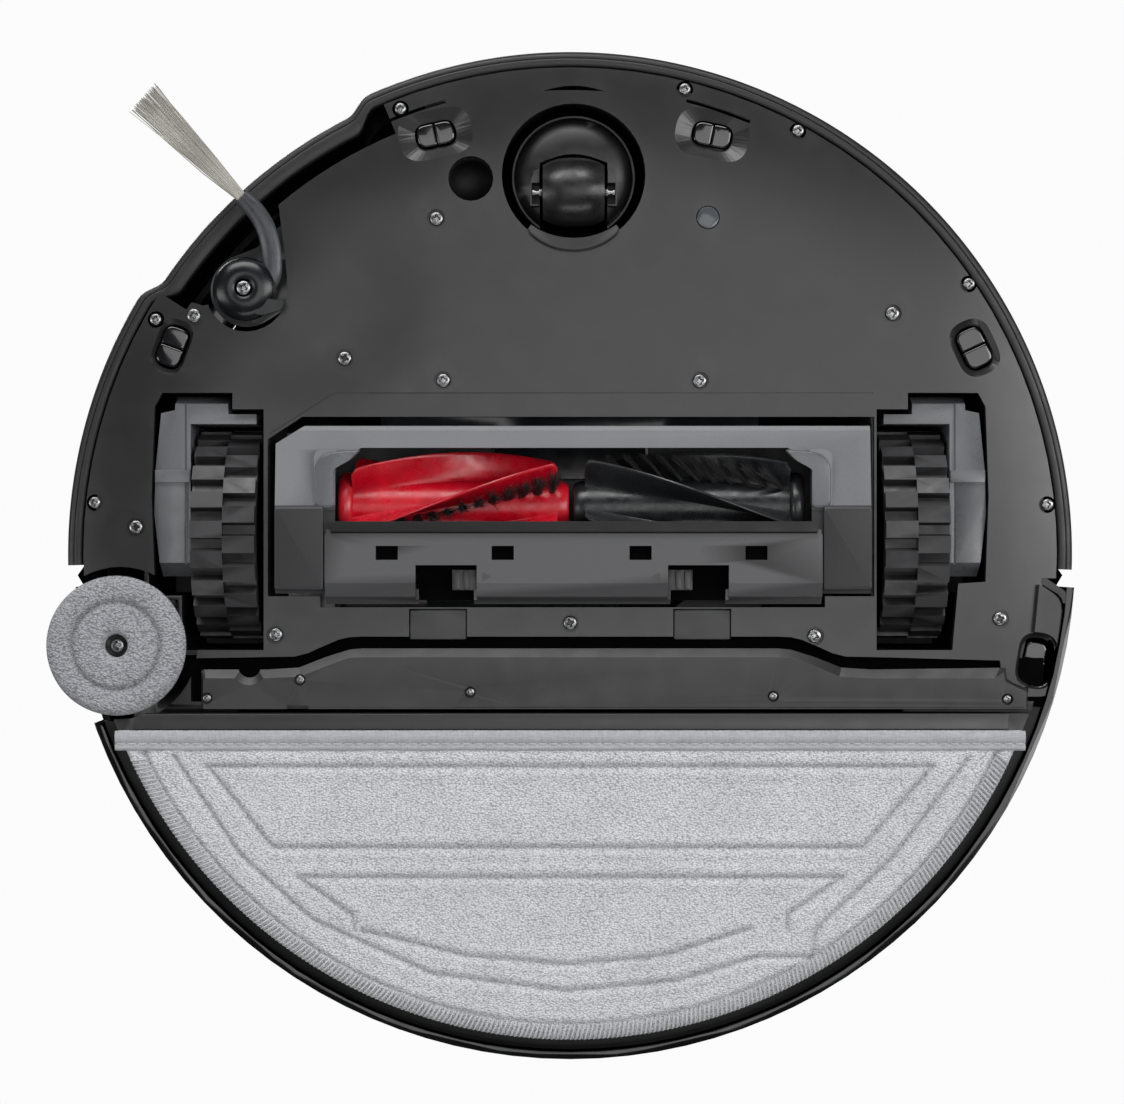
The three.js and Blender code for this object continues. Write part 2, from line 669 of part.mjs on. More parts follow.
function mopDriveMotor() {
  const motor = drum(13, 17, 44, 0, 130, 28);
  const arms = block(-70, 70, 124, 136, 17, 22);
  return motor.add(arms);
}

function contact() {
  return plate(roundedRect(12, 9.4, 2), 0, 3.2, 2).rotate([90, 0, 0]);
}

// the assembly
const robot = new THREE.Group();
robot.name = 'robot_vacuum';

robot.add(
  node('base_chassis', baseChassis(), matteBlack),
  node('left_wheel_well', wheelWell(-1), darkPlastic),
  node('right_wheel_well', wheelWell(1), darkPlastic),
  node('caster_well', casterWell(), darkPlastic, casterX, casterY),
  node('brush_bay', brushBay(), darkPlastic),
  node('top_shell', topShell(), glossBlack),
  node('bumper', bumper(), darkPlastic),
  node('top_lid', topLid(), glossBlack),
  node('turret_housing', turretHousing(), glossBlack, 0, turretY, deckTop + gap),
  node('lidar_rotor', lidarRotor(), windowGloss, 0, turretY, deckTop + gap + 2.8),
  node('dust_bin', dustBin(), tankSmoke),
  node('water_tank', waterTank(), tankSmoke),
  node('battery_pack', batteryPack(), cellBlue),
  node('main_board', mainBoard(), boardGreen),
  node('fan_blower', fanBlower(), darkPlastic),
  node('brush_motor', brushMotor(), motorSteel),
  node('brush_cover', brushCover(), coverGrey),
  node('cover_lip', coverLip(), blackRubber),
  node('left_cover_latch', coverLatch(-1), matteBlack, -31, 0, 0),
  node('right_cover_latch', coverLatch(1), matteBlack, 32.5, 0, 0),
  node('mop_drive_cover', mopDriveCover(), matteBlack),
  node('mop_plate', mopPlate(), matteBlack),
  node('mop_cloth', mopCloth(), clothGrey),
  node('mop_drive_motor', mopDriveMotor(), motorSteel),
);

const rollers = new THREE.Group();
rollers.position.set(0, rollerY, rollerZ);
const redRoller = node('red_roller', finnedRoller(rollerLength, -1.17, radians(12.9)), redRubber, -rollerLength - 0.4);
const greyRoller = node('grey_roller', finnedRoller(rollerLength, 1.13, radians(33.8)), greyRubber, rollerLength + 1.2);
greyRoller.rotation.z = Math.PI;
rollers.add(redRoller, greyRoller);
robot.add(rollers);

for (const [side, word] of [[-1, 'left'], [1, 'right']]) {
  const wheel = new THREE.Group();
  wheel.position.set(side * wheelX, wheelY, wheelRadius);
  wheel.add(node(`${word}_tyre`, tyre(), tyreRubber), node(`${word}_wheel_hub`, wheelHub(side), gearGrey));
  robot.add(node(`${word}_wheel_gearbox`, wheelGearbox(side), gearGrey), wheel);
}

const caster = new THREE.Group();
caster.position.set(casterX, casterY, 0);
caster.add(
  node('caster_pod', casterPod(), darkPlastic),
  node('caster_axle', rod(1.5, -15.4, 15.4, 0, 0, 12), motorSteel, 0, casterWheelY - casterY, casterWheelRadius),
  node('caster_wheel', casterWheel(), darkPlastic, 0, casterWheelY - casterY, casterWheelRadius),
);
robot.add(caster);

const brushArm = new THREE.Group();
brushArm.position.set(armPivotX, armPivotY, 0);
brushArm.add(
  node('side_brush_arm', sideBrushArm(), matteBlack),
  node('side_brush_motor', sideBrushMotor(), motorSteel),
);
const sideBrush = new THREE.Group();
sideBrush.position.set(hubX, hubY, 0);
sideBrush.add(
  node('side_brush_hub', sideBrushHub(), brushPlastic),
  node('side_brush_bristles', sideBrushBristles(), nylon),
  node('side_brush_screw', screw(2.6, 1.2, 6.2, 1.2), screwSteel, 0, 0, 4.4),
);
robot.add(brushArm, sideBrush);

const edgeMop = new THREE.Group();
edgeMop.position.set(discX, discY, 0);
edgeMop.add(
  node('edge_mop_motor', edgeMopMotor(), motorSteel),
  node('edge_mop_hub', edgeMopHub(), darkPlastic),
  node('edge_mop_pad', edgeMopPad(), padGrey),
  node('edge_mop_screw', screw(2.6, 1.3, 6.4, 1.2), screwSteel, 0, 0, 5.2),
);
robot.add(edgeMop);

for (const [name, x, y, width, depth, turn] of cliffSensors) {
  robot.add(node(name, pill(width, depth, 0, 3.4, turn, 0, 0), windowGloss, x, y, undersideZ + 0.8));
}
robot.add(node('floor_sensor_lens', drum(3.8, 0, 3, 0, 0, 20), lensClear, 47.6, -116.2, undersideZ + 0.1));

for (const [x, word] of [[-22, 'left'], [22, 'right']]) {
  robot.add(node(`charging_contact_${word}`, contact(), brass, x, 174.6, 31));
}
for (const [x, word] of [[-12, 'power'], [12, 'home']]) {
  robot.add(node(`${word}_button`, drum(6.4, 0, 2.8, 0, 0, 20), matteBlack, x, 96, deckTop - 2.3));
}
screws.forEach(([x, y], i) => {
  robot.add(node(`chassis_screw_${i + 1}`, screw(2.5, 1.1, 7.4), screwSteel, x, y, undersideZ + 0.2));
});

export default robot;
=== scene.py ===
import math
import random

import bpy
import bmesh
from mathutils import Matrix, Vector, noise


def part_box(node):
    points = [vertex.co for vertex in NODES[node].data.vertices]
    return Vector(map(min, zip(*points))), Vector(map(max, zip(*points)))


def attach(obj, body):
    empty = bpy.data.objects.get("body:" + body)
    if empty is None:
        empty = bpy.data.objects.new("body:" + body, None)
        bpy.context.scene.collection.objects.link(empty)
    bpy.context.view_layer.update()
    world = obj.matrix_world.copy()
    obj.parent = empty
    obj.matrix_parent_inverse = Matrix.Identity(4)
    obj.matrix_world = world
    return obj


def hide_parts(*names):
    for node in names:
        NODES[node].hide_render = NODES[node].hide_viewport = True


# Robot vacuum with mop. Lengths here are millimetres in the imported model's frame: +Z up, floor at z = 0,
# front at -Y, side brush and edge mop at -X. Meshes are scaled to metres as they are made.

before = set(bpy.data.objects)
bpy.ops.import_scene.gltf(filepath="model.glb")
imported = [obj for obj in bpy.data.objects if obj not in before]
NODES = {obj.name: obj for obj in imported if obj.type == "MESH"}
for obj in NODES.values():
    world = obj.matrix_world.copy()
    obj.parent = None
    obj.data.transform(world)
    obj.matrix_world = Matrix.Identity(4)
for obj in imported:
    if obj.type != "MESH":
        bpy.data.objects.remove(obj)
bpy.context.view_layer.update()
MM = 0.001
TURN = 2 * math.pi


# ---------------------------------------------------------------- measures from the frame

def low_high(node):
    """A node's box at rest, in millimetres."""
    low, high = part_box(node)
    return low / MM, high / MM


def centre_of(node):
    low, high = low_high(node)
    return (low + high) / 2


BODY_R = low_high("bumper")[1].x
BUMPER_LOW = low_high("bumper")[0].z
BUMPER_HIGH = low_high("bumper")[1].z
UNDERSIDE = low_high("base_chassis")[0].z
HUB = centre_of("side_brush_screw")
DISC = centre_of("edge_mop_screw")
CASTER_AXLE = centre_of("caster_axle")
CASTER_SWIVEL = centre_of("caster_well")
ROLLER_AXIS = centre_of("red_roller")


# ---------------------------------------------------------------- materials

def linear(hex_colour):
    """Linear RGBA from an sRGB hex string."""
    parts = [int(hex_colour[i:i + 2], 16) / 255 for i in (0, 2, 4)]
    return (*[c / 12.92 if c <= 0.04045 else ((c + 0.055) / 1.055) ** 2.4 for c in parts], 1)


class Paint:
    """A node material under construction, in object coordinates."""

    def __init__(self, name, colour, roughness, **sockets):
        self.material = bpy.data.materials.new(name)
        self.material.use_nodes = True
        self.tree = self.material.node_tree
        self.shader = self.tree.nodes["Principled BSDF"]
        self.colour = linear(colour)
        self.shader.inputs["Base Color"].default_value = self.colour
        self.shader.inputs["Roughness"].default_value = roughness
        for socket, value in sockets.items():
            self.shader.inputs[socket.replace("_", " ")].default_value = value
        self.place = self.add("ShaderNodeTexCoord").outputs["Object"]
        self.normal = None

    def add(self, kind, **settings):
        node = self.tree.nodes.new(kind)
        for key, value in settings.items():
            setattr(node, key, value)
        return node

    def join(self, source, target):
        self.tree.links.new(source, target)

    def noise(self, size, detail=3.0, roughness=0.55, stretch=(1, 1, 1)):
        """Noise with features of about `size` millimetres."""
        mapping = self.add("ShaderNodeMapping")
        mapping.inputs["Scale"].default_value = [s / (size * MM) for s in stretch]
        self.join(self.place, mapping.inputs["Vector"])
        node = self.add("ShaderNodeTexNoise")
        node.inputs["Scale"].default_value = 1
        node.inputs["Detail"].default_value = detail
        node.inputs["Roughness"].default_value = roughness
        self.join(mapping.outputs["Vector"], node.inputs["Vector"])
        return node.outputs["Fac"]

    def cells(self, size, feature="F1", stretch=(1, 1, 1)):
        mapping = self.add("ShaderNodeMapping")
        mapping.inputs["Scale"].default_value = [s / (size * MM) for s in stretch]
        self.join(self.place, mapping.inputs["Vector"])
        node = self.add("ShaderNodeTexVoronoi", feature=feature)
        node.inputs["Scale"].default_value = 1
        self.join(mapping.outputs["Vector"], node.inputs["Vector"])
        return node.outputs["Distance"]

    def spread(self, source, low, high, start=0.35, stop=0.65):
        """source from start..stop to low..high."""
        node = self.add("ShaderNodeMapRange")
        node.inputs["From Min"].default_value = start
        node.inputs["From Max"].default_value = stop
        node.inputs["To Min"].default_value = low
        node.inputs["To Max"].default_value = high
        self.join(source, node.inputs["Value"])
        return node.outputs["Result"]

    def tint(self, source, low, high, start=0.35, stop=0.65):
        """Multiplies the colour so far by low..high as source goes from start to stop."""
        factor = self.spread(source, low, high, start, stop)
        node = self.add("ShaderNodeVectorMath", operation="SCALE")
        current = self.shader.inputs["Base Color"]
        if current.is_linked:
            self.join(current.links[0].from_socket, node.inputs[0])
        else:
            node.inputs[0].default_value = self.colour[:3]
        self.join(factor, node.inputs["Scale"])
        self.join(node.outputs["Vector"], current)
        return self

    def blend_in(self, mask, colour):
        """Mixes a second colour in where mask is 1."""
        node = self.add("ShaderNodeMix", data_type="RGBA")
        current = self.shader.inputs["Base Color"]
        if current.is_linked:
            self.join(current.links[0].from_socket, node.inputs["A"])
        else:
            node.inputs["A"].default_value = self.colour
        node.inputs["B"].default_value = linear(colour)
        self.join(mask, node.inputs["Factor"])
        self.join(node.outputs["Result"], current)
        return self

    def rough(self, source, low, high):
        self.join(self.spread(source, low, high), self.shader.inputs["Roughness"])
        return self

    def bump(self, source, height, strength=1.0):
        """Relief of about `height` millimetres, stacked on the relief so far."""
        node = self.add("ShaderNodeBump")
        node.inputs["Distance"].default_value = height * MM
        node.inputs["Strength"].default_value = strength
        self.join(source, node.inputs["Height"])
        if self.normal is not None:
            self.join(self.normal, node.inputs["Normal"])
        self.normal = node.outputs["Normal"]
        self.join(self.normal, self.shader.inputs["Normal"])
        return self

    def edge_wear(self, colour, amount=0.35):
        pointed = self.add("ShaderNodeNewGeometry").outputs["Pointiness"]
        mask = self.spread(pointed, 0, amount, 0.52, 0.6)
        return self.blend_in(mask, colour)


def moulded(name, colour, roughness, grain=0.012, grain_size=0.45, shade=0.07, wear="8a8a8c", worn=0.18,
            drift=0.055, **sockets):
    """Moulded plastic: fine spark-eroded grain, slow colour drift and faint handling marks."""
    paint = Paint(name, colour, roughness, **sockets)
    paint.tint(paint.noise(28, 2), 1 - shade, 1 + shade)
    paint.tint(paint.noise(grain_size * 2, 2), 0.96, 1.04)
    paint.rough(paint.noise(9, 4), roughness - drift, roughness + drift)
    paint.bump(paint.noise(grain_size, 2), grain)
    paint.edge_wear(wear, worn)
    return paint.material


def glossy(name, colour, roughness, **sockets):
    """Polished plastic: smears in the gloss and very slight moulding waves."""
    paint = Paint(name, colour, roughness, **sockets)
    paint.tint(paint.noise(35, 2), 0.93, 1.07)
    paint.rough(paint.noise(14, 5, 0.7, (1, 0.35, 1)), max(roughness - 0.03, 0.02), roughness + 0.07)
    paint.bump(paint.noise(40, 1), 0.012, 0.3)
    return paint.material


def rubbery(name, colour, roughness, **sockets):
    paint = Paint(name, colour, roughness, **sockets)
    paint.tint(paint.noise(7, 3), 0.88, 1.1)
    paint.tint(paint.noise(0.8, 3), 0.94, 1.06)
    paint.rough(paint.noise(4, 4), roughness - 0.08, roughness + 0.1)
    paint.bump(paint.noise(0.35, 3), 0.02)
    paint.edge_wear("77777a", 0.15)
    return paint.material


def metal(name, colour, roughness, stretch=(1, 1, 1), **sockets):
    paint = Paint(name, colour, roughness, Metallic=1.0, **sockets)
    paint.tint(paint.noise(1.4, 4), 0.82, 1.08)
    paint.rough(paint.noise(0.5, 3, 0.6, stretch), roughness - 0.08, roughness + 0.12)
    paint.bump(paint.noise(0.12, 2, 0.6, stretch), 0.008)
    return paint.material


def terry(name, colour, shadow, loop=0.72, relief=0.3, sheen=0.3):
    """Looped microfibre: pale loop tops in loose rows, painted shade in the gaps, and flattened pile darkened with
    painted shade where it is sewn.
    """
    paint = Paint(name, colour, 0.95, Sheen_Weight=sheen, Sheen_Roughness=0.5)
    loops = paint.cells(loop, stretch=(1, 1.35, 1))
    # Painted shade in the gaps between the loops.
    paint.blend_in(paint.spread(loops, 0, 0.7, 0.3, 0.95), shadow)
    paint.tint(paint.noise(0.4, 3), 0.84, 1.12, 0.32, 0.68)
    paint.tint(paint.noise(2.6, 3), 0.94, 1.05)
    paint.tint(paint.noise(22, 2), 0.96, 1.03)
    # Painted shade along the sewn grooves, where the mesh's "sewn" attribute is 1.
    sewn = paint.add("ShaderNodeAttribute", attribute_name="sewn").outputs["Fac"]
    paint.tint(sewn, 1.0, 0.72, 0, 1)
    paint.bump(paint.spread(loops, 1, 0, 0, 0.8), relief)
    paint.bump(paint.noise(0.25, 2), 0.08)
    return paint.material


def cover_skin(name, colour, lower_colour, edge_y):
    """The brush cover: smooth and pale ahead of edge_y, darker and spark-textured behind it."""
    paint = Paint(name, colour, 0.36)
    split = paint.add("ShaderNodeSeparateXYZ")
    paint.join(paint.place, split.inputs[0])
    behind = paint.spread(split.outputs["Y"], 0, 1, (edge_y - 0.15) * MM, (edge_y + 0.15) * MM)
    paint.blend_in(behind, lower_colour)
    paint.tint(paint.noise(30, 2), 0.95, 1.05)
    grain = paint.noise(0.55, 3, 0.65)
    paint.tint(grain, 0.93, 1.06)
    paint.join(paint.spread(behind, 0.34, 0.52, 0, 1), paint.shader.inputs["Roughness"])
    mixed = paint.add("ShaderNodeMath", operation="MULTIPLY")
    paint.join(grain, mixed.inputs[0])
    paint.join(paint.spread(behind, 0.15, 1, 0, 1), mixed.inputs[1])
    paint.bump(mixed.outputs[0], 0.05)
    paint.edge_wear("a0a0a2", 0.2)
    return paint.material


def woven(name, colour, pitch=0.55):
    """Smooth woven binding tape: fine crossed threads."""
    paint = Paint(name, colour, 0.85, Sheen_Weight=0.2)
    for stretch in ((1, 0.15, 0.15), (0.15, 1, 0.15)):
        threads = paint.noise(pitch, 1, 0.5, stretch)
        paint.tint(threads, 0.92, 1.06)
        paint.bump(threads, 0.04)
    paint.tint(paint.noise(12, 2), 0.96, 1.04)
    return paint.material


MAT = {
    "chassis": moulded("chassis_black", "1d1d1e", 0.3, 0.007, 0.4, 0.04, worn=0.03, drift=0.015,
    Specular_IOR_Level=0.6),
    "chassis_rear": moulded("chassis_rear_black", "19191a", 0.42, 0.02, 0.5, worn=0.08),
    "shell": glossy("shell_gloss_black", "040405", 0.14, Coat_Weight=0.4, Coat_Roughness=0.06),
    "bumper": moulded("bumper_black", "19191a", 0.44, 0.006, 0.35, worn=0.08),
    "dark": moulded("dark_plastic", "0e0e0f", 0.42, 0.006),
    "inner": moulded("inner_black", "080808", 0.6, 0.01, 0.3, wear="101011"),
    # Flat black for the sheets, plugs and discs of painted shade set into holes, openings and gaps.
    "shade_fill": moulded("painted_shade_black", "020202", 0.9, 0.004, wear="040404", Specular_IOR_Level=0.05),
    "cover": cover_skin("cover_grey", "6b6c6f", "202022", -16.7),
    "boss": moulded("boss_grey", "5a5c60", 0.3, 0.004, 0.4),
    "gearbox": moulded("gearbox_grey", "5b5c5f", 0.3, 0.006, 0.4),
    "tyre": rubbery("tyre_rubber", "19191a", 0.4),
    "caster_rubber": rubbery("caster_rubber", "161617", 0.34),
    "red": rubbery("red_rubber", "b8061f", 0.3, Subsurface_Weight=0.08, Subsurface_Radius=(0.004, 0.001, 0.001)),
    "grey": rubbery("grey_rubber", "1d1e20", 0.28),
    "black_rubber": rubbery("black_rubber", "0a0a0b", 0.5),
    "brush_plastic": glossy("brush_plastic", "0b0d10", 0.24),
    "sleeve": rubbery("sleeve_rubber", "3a3c40", 0.3),
    "nylon": moulded("nylon_bristle", "aba79f", 0.4, 0.002, 0.2, 0.35, wear="dedbd4"),
    "dark_bristle": moulded("dark_bristle", "232223", 0.5, 0.002, 0.2, wear="5a5656"),
    "cloth": terry("mop_terry", "dcdde0", "66676b", 0.85, 0.42),
    "pad": terry("pad_terry", "b0b1b7", "35363b", 1.0, 0.7),
    "binding": woven("binding_tape", "a2a3a6"),
    "thread": woven("sewing_thread", "b3b4b7", 0.3),
    "screw": metal("screw_steel", "a5a5a6", 0.3),
    "brass": metal("contact_brass", "b08d4f", 0.3),
    "motor": metal("motor_steel", "8c8c8e", 0.35, (0.1, 0.1, 1)),
    "window": glossy("window_black", "0a0a0c", 0.1, Coat_Weight=0.8, Coat_Roughness=0.03),
    "lens": glossy("clear_lens", "5c6166", 0.08, Transmission_Weight=0.35, IOR=1.49),
    "board": moulded("board_green", "123d28", 0.45, 0.01, 0.8),
    "wrap": moulded("battery_wrap", "1a2740", 0.4, 0.01, 1.2),
    "tank": glossy("smoke_plastic", "2b2f34", 0.12),
}


# ---------------------------------------------------------------- mesh making

def show(name, verts, faces, look, body, slot, smooth=35):
    """A new piece from millimetre vertices, riding on a body."""
    mesh = bpy.data.meshes.new(name)
    mesh.from_pydata([Vector(v) * MM for v in verts], [], faces)
    mesh.validate()
    piece = bpy.data.objects.new(name, mesh)
    bpy.context.scene.collection.objects.link(piece)
    tidy_normals(mesh)
    return settle(piece, look, body, smooth)


def tidy_normals(mesh):
    made = bmesh.new()
    made.from_mesh(mesh)
    bmesh.ops.remove_doubles(made, verts=made.verts, dist=1e-6)
    bmesh.ops.recalc_face_normals(made, faces=made.faces)
    made.to_mesh(mesh)
    made.free()


def settle(piece, look, body, smooth=35):
    mesh = piece.data
    mesh.materials.clear()
    mesh.materials.append(MAT[look])
    if smooth:
        mesh.shade_smooth()
        mesh.set_sharp_from_angle(angle=math.radians(smooth))
    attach(piece, body)
    return piece


def merged(name, parts, look, body, slot, smooth=35):
    """One piece from several (vertices, faces) lists."""
    verts, faces = [], []
    for some_verts, some_faces in parts:
        start = len(verts)
        verts += some_verts
        faces += [tuple(start + i for i in face) for face in some_faces]
    return show(name, verts, faces, look, body, slot, smooth)


def loft(rings, closed=False, caps=True):
    """(vertices, faces) through rings of equal length. closed joins the last ring to the first."""
    size = len(rings[0])
    verts = [tuple(v) for ring in rings for v in ring]
    faces = []
    steps = len(rings) if closed else len(rings) - 1
    for i in range(steps):
        here, there = i * size, (i + 1) % len(rings) * size
        for j in range(size):
            k = (j + 1) % size
            faces.append((here + j, here + k, there + k, there + j))
    if caps and not closed:
        faces.append(tuple(range(size))[::-1])
        faces.append(tuple(range(len(verts) - size, len(verts))))
    return verts, faces


def polar(radius, angle):
    return radius * math.cos(angle), radius * math.sin(angle)


def lathe(profile, centre=(0, 0, 0), axis="Z", sides=64):
    """(vertices, faces) of a closed profile of (radius, height) turned about an axis through centre."""
    rings = []
    for i in range(sides):
        a = TURN * i / sides
        ring = []
        for r, h in profile:
            u, v = polar(r, a)
            point = (u, v, h) if axis == "Z" else (h, u, v)
            ring.append(tuple(p + c for p, c in zip(point, centre)))
        rings.append(ring)
    return loft(rings, closed=True)


def tube(points, radii, sides=12, flat=1.0):
    """(vertices, faces) of a tube along points."""
    points = [Vector(p) for p in points]
    rings = []
    side = None
    for i, p in enumerate(points):
        ahead = points[min(i + 1, len(points) - 1)] - points[max(i - 1, 0)]
        ahead.normalize()
        if side is None:
            side = ahead.cross(Vector((0, 0, 1))).normalized()
        side = (side - ahead * side.dot(ahead)).normalized()
        up = side.cross(ahead)
        r = radii[i] if hasattr(radii, "__len__") else radii
        ring = []
        for j in range(sides):
            u, v = polar(r, TURN * j / sides)
            ring.append(p + side * u + up * v * flat)
        rings.append(ring)
    return loft(rings)


def smooth_path(points, steps):
    """Catmull-Rom through points, `steps` a span."""
    points = [Vector(p) for p in points]
    ends = [2 * points[0] - points[1], *points, 2 * points[-1] - points[-2]]
    path = []
    for a, b, c, d in zip(ends, ends[1:], ends[2:], ends[3:]):
        for k in range(steps):
            t = k / steps
            path.append(0.5 * ((2 * b) + (c - a) * t + (2 * a - 5 * b + 4 * c - d) * t ** 2
                               + (3 * b - a - 3 * c + d) * t ** 3))
    return [*path, points[-1]]


def rounded(corners, radius, steps=5):
    """A polygon with its corners rounded."""
    out = []
    corners = [Vector(c) for c in corners]
    for before, here, after in zip(corners[-1:] + corners, corners, corners[1:] + corners[:1]):
        to_before, to_after = before - here, after - here
        reach = min(radius, to_before.length / 2.1, to_after.length / 2.1)
        start, stop = here + to_before.normalized() * reach, here + to_after.normalized() * reach
        for k in range(steps + 1):
            t = k / steps
            out.append((1 - t) ** 2 * start + 2 * t * (1 - t) * here + t ** 2 * stop)
    return out


def slab(outline, z0, z1):
    """(vertices, faces) of a flat outline between two heights."""
    return loft([[(p[0], p[1], z0) for p in outline], [(p[0], p[1], z1) for p in outline]])


def bore(x, y, radius, z0, z1, sides=28):
    return slab([(x + u, y + v) for u, v in (polar(radius, TURN * i / sides) for i in range(sides))], z0, z1)


def pill(width, depth, turn, centre, steps=8):
    """A rounded rectangle outline, turned and placed."""
    half_w, half_d = width / 2, depth / 2
    corners = [(-half_w, -half_d), (half_w, -half_d), (half_w, half_d), (-half_w, half_d)]
    a = math.radians(turn)
    out = []
    for p in rounded(corners, min(width, depth) * 0.48, steps):
        x, y = p.x * math.cos(a) - p.y * math.sin(a), p.x * math.sin(a) + p.y * math.cos(a)
        out.append((x + centre[0], y + centre[1]))
    return out


def arc_slot(inner, outer, start, stop, z0, z1, steps=16):
    """(vertices, faces) of a curved slot, angles in degrees."""
    rings = []
    for i in range(steps + 1):
        a = math.radians(start + (stop - start) * i / steps)
        (x0, y0), (x1, y1) = polar(inner, a), polar(outer, a)
        rings.append([(x0, y0, z0), (x1, y1, z0), (x1, y1, z1), (x0, y0, z1)])
    return loft(rings)


# ---------------------------------------------------------------- finishing CAD nodes

def finish_node(name, look, bevel=0.35, segments=2, smooth=35):
    """Gives a CAD node its material and broken edges. Its own mesh stays as it is."""
    node = NODES[name]
    node.data.materials.clear()
    node.data.materials.append(MAT[look])
    if name in FLAT_FACED:
        node.data.shade_flat()
    else:
        node.data.shade_smooth()
    soften(node, bevel, segments, smooth)


def soften(piece, bevel, segments=2, smooth=35):
    weld = piece.modifiers.new("weld", "WELD")
    weld.merge_threshold = 2e-6
    flat = piece.modifiers.new("flat", "DECIMATE")
    flat.decimate_type = "DISSOLVE"
    flat.angle_limit = math.radians(0.6)
    if bevel:
        edge = piece.modifiers.new("edge", "BEVEL")
        edge.width = bevel * MM
        edge.segments = segments
        edge.limit_method = "ANGLE"
        edge.angle_limit = math.radians(smooth)
        edge.use_clamp_overlap = True
        edge.harden_normals = True


def flat_faced(mesh):
    """Splits the mesh into triangles and joins its doubled points, so that the next cut meets closed, plane faces."""
    work = bmesh.new()
    work.from_mesh(mesh)
    bmesh.ops.triangulate(work, faces=work.faces)
    bmesh.ops.remove_doubles(work, verts=work.verts, dist=1e-7)
    work.to_mesh(mesh)
    work.free()


def carve(piece, parts, operation="DIFFERENCE", overlapping=False):
    verts, faces = [], []
    for some_verts, some_faces in parts:
        start = len(verts)
        verts += some_verts
        faces += [tuple(start + i for i in face) for face in some_faces]
    mesh = bpy.data.meshes.new("tool")
    mesh.from_pydata([Vector(v) * MM for v in verts], [], faces)
    tidy_normals(mesh)
    flat_faced(mesh)
    tool = bpy.data.objects.new("tool", mesh)
    bpy.context.scene.collection.objects.link(tool)
    cut = piece.modifiers.new("cut", "BOOLEAN")
    cut.operation = operation
    cut.solver = "EXACT"
    cut.use_self = overlapping
    cut.object = tool
    graph = bpy.context.evaluated_depsgraph_get()
    made = bpy.data.meshes.new_from_object(piece.evaluated_get(graph))
    piece.modifiers.remove(cut)
    flat_faced(made)
    piece.data = made
    bpy.data.objects.remove(tool)
    bpy.data.meshes.remove(mesh)


# ---------------------------------------------------------------- camera and light

def camera():
    """Under the robot, looking up, with the robot's front at the top of the picture."""
    lens = bpy.data.cameras.new("camera")
    lens.lens = 83.5
    lens.sensor_width = 36
    lens.clip_end = 20
    made = bpy.data.objects.new("camera", lens)
    made.location = Vector((-2.8, -0.7, -890)) * MM
    made.rotation_euler = (math.pi, 0, 0)
    bpy.context.scene.collection.objects.link(made)
    bpy.context.scene.camera = made


def softbox(name, place, aim, size, power, colour=(1, 1, 1)):
    """A rectangular area light. Places are in metres."""
    light = bpy.data.lights.new(name, "AREA")
    light.shape = "RECTANGLE"
    light.size, light.size_y = size
    light.energy = power
    light.color = colour
    made = bpy.data.objects.new(name, light)
    made.location = place
    made.rotation_euler = (Vector(aim) - Vector(place)).to_track_quat("-Z", "Y").to_euler()
    made.visible_camera = False
    bpy.context.scene.collection.objects.link(made)


def studio():
    bpy.context.scene.view_settings.view_transform = "Standard"
    world = bpy.data.worlds.new("studio")
    world.use_nodes = True
    bpy.context.scene.world = world
    tree = world.node_tree
    seen, lit = tree.nodes["Background"], tree.nodes.new("ShaderNodeBackground")
    seen.inputs["Color"].default_value = (0.97, 0.97, 0.97, 1)
    lit.inputs["Color"].default_value = (0.92, 0.96, 1.0, 1)
    lit.inputs["Strength"].default_value = 0.07
    mix, path = tree.nodes.new("ShaderNodeMixShader"), tree.nodes.new("ShaderNodeLightPath")
    tree.links.new(path.outputs["Is Camera Ray"], mix.inputs["Fac"])
    tree.links.new(lit.outputs["Background"], mix.inputs[1])
    tree.links.new(seen.outputs["Background"], mix.inputs[2])
    tree.links.new(mix.outputs["Shader"], tree.nodes["World Output"].inputs["Surface"])
    softbox("under_front", (-0.3, -1.9, -1.15), (0, 0, 0), (2.2, 1.0), 40)
    softbox("under_middle", (0.22, -0.05, -2.4), (0, 0, 0), (1.2, 1.4), 10)
    softbox("under_right", (1.6, -0.3, -1.35), (0, 0, 0), (0.8, 2.0), 26)
    softbox("under_left", (-1.8, 0.2, -1.1), (0, 0, 0), (0.6, 1.8), 11)
    softbox("under_rear", (0.2, 1.9, -1.2), (0, 0, 0), (1.8, 0.6), 8)
    softbox("over_front", (-1.2, -1.6, 2.0), (0, 0, 0), (1.6, 1.6), 60)
    softbox("over_rear", (1.4, 1.2, 1.8), (0, 0, 0), (1.4, 1.4), 38)


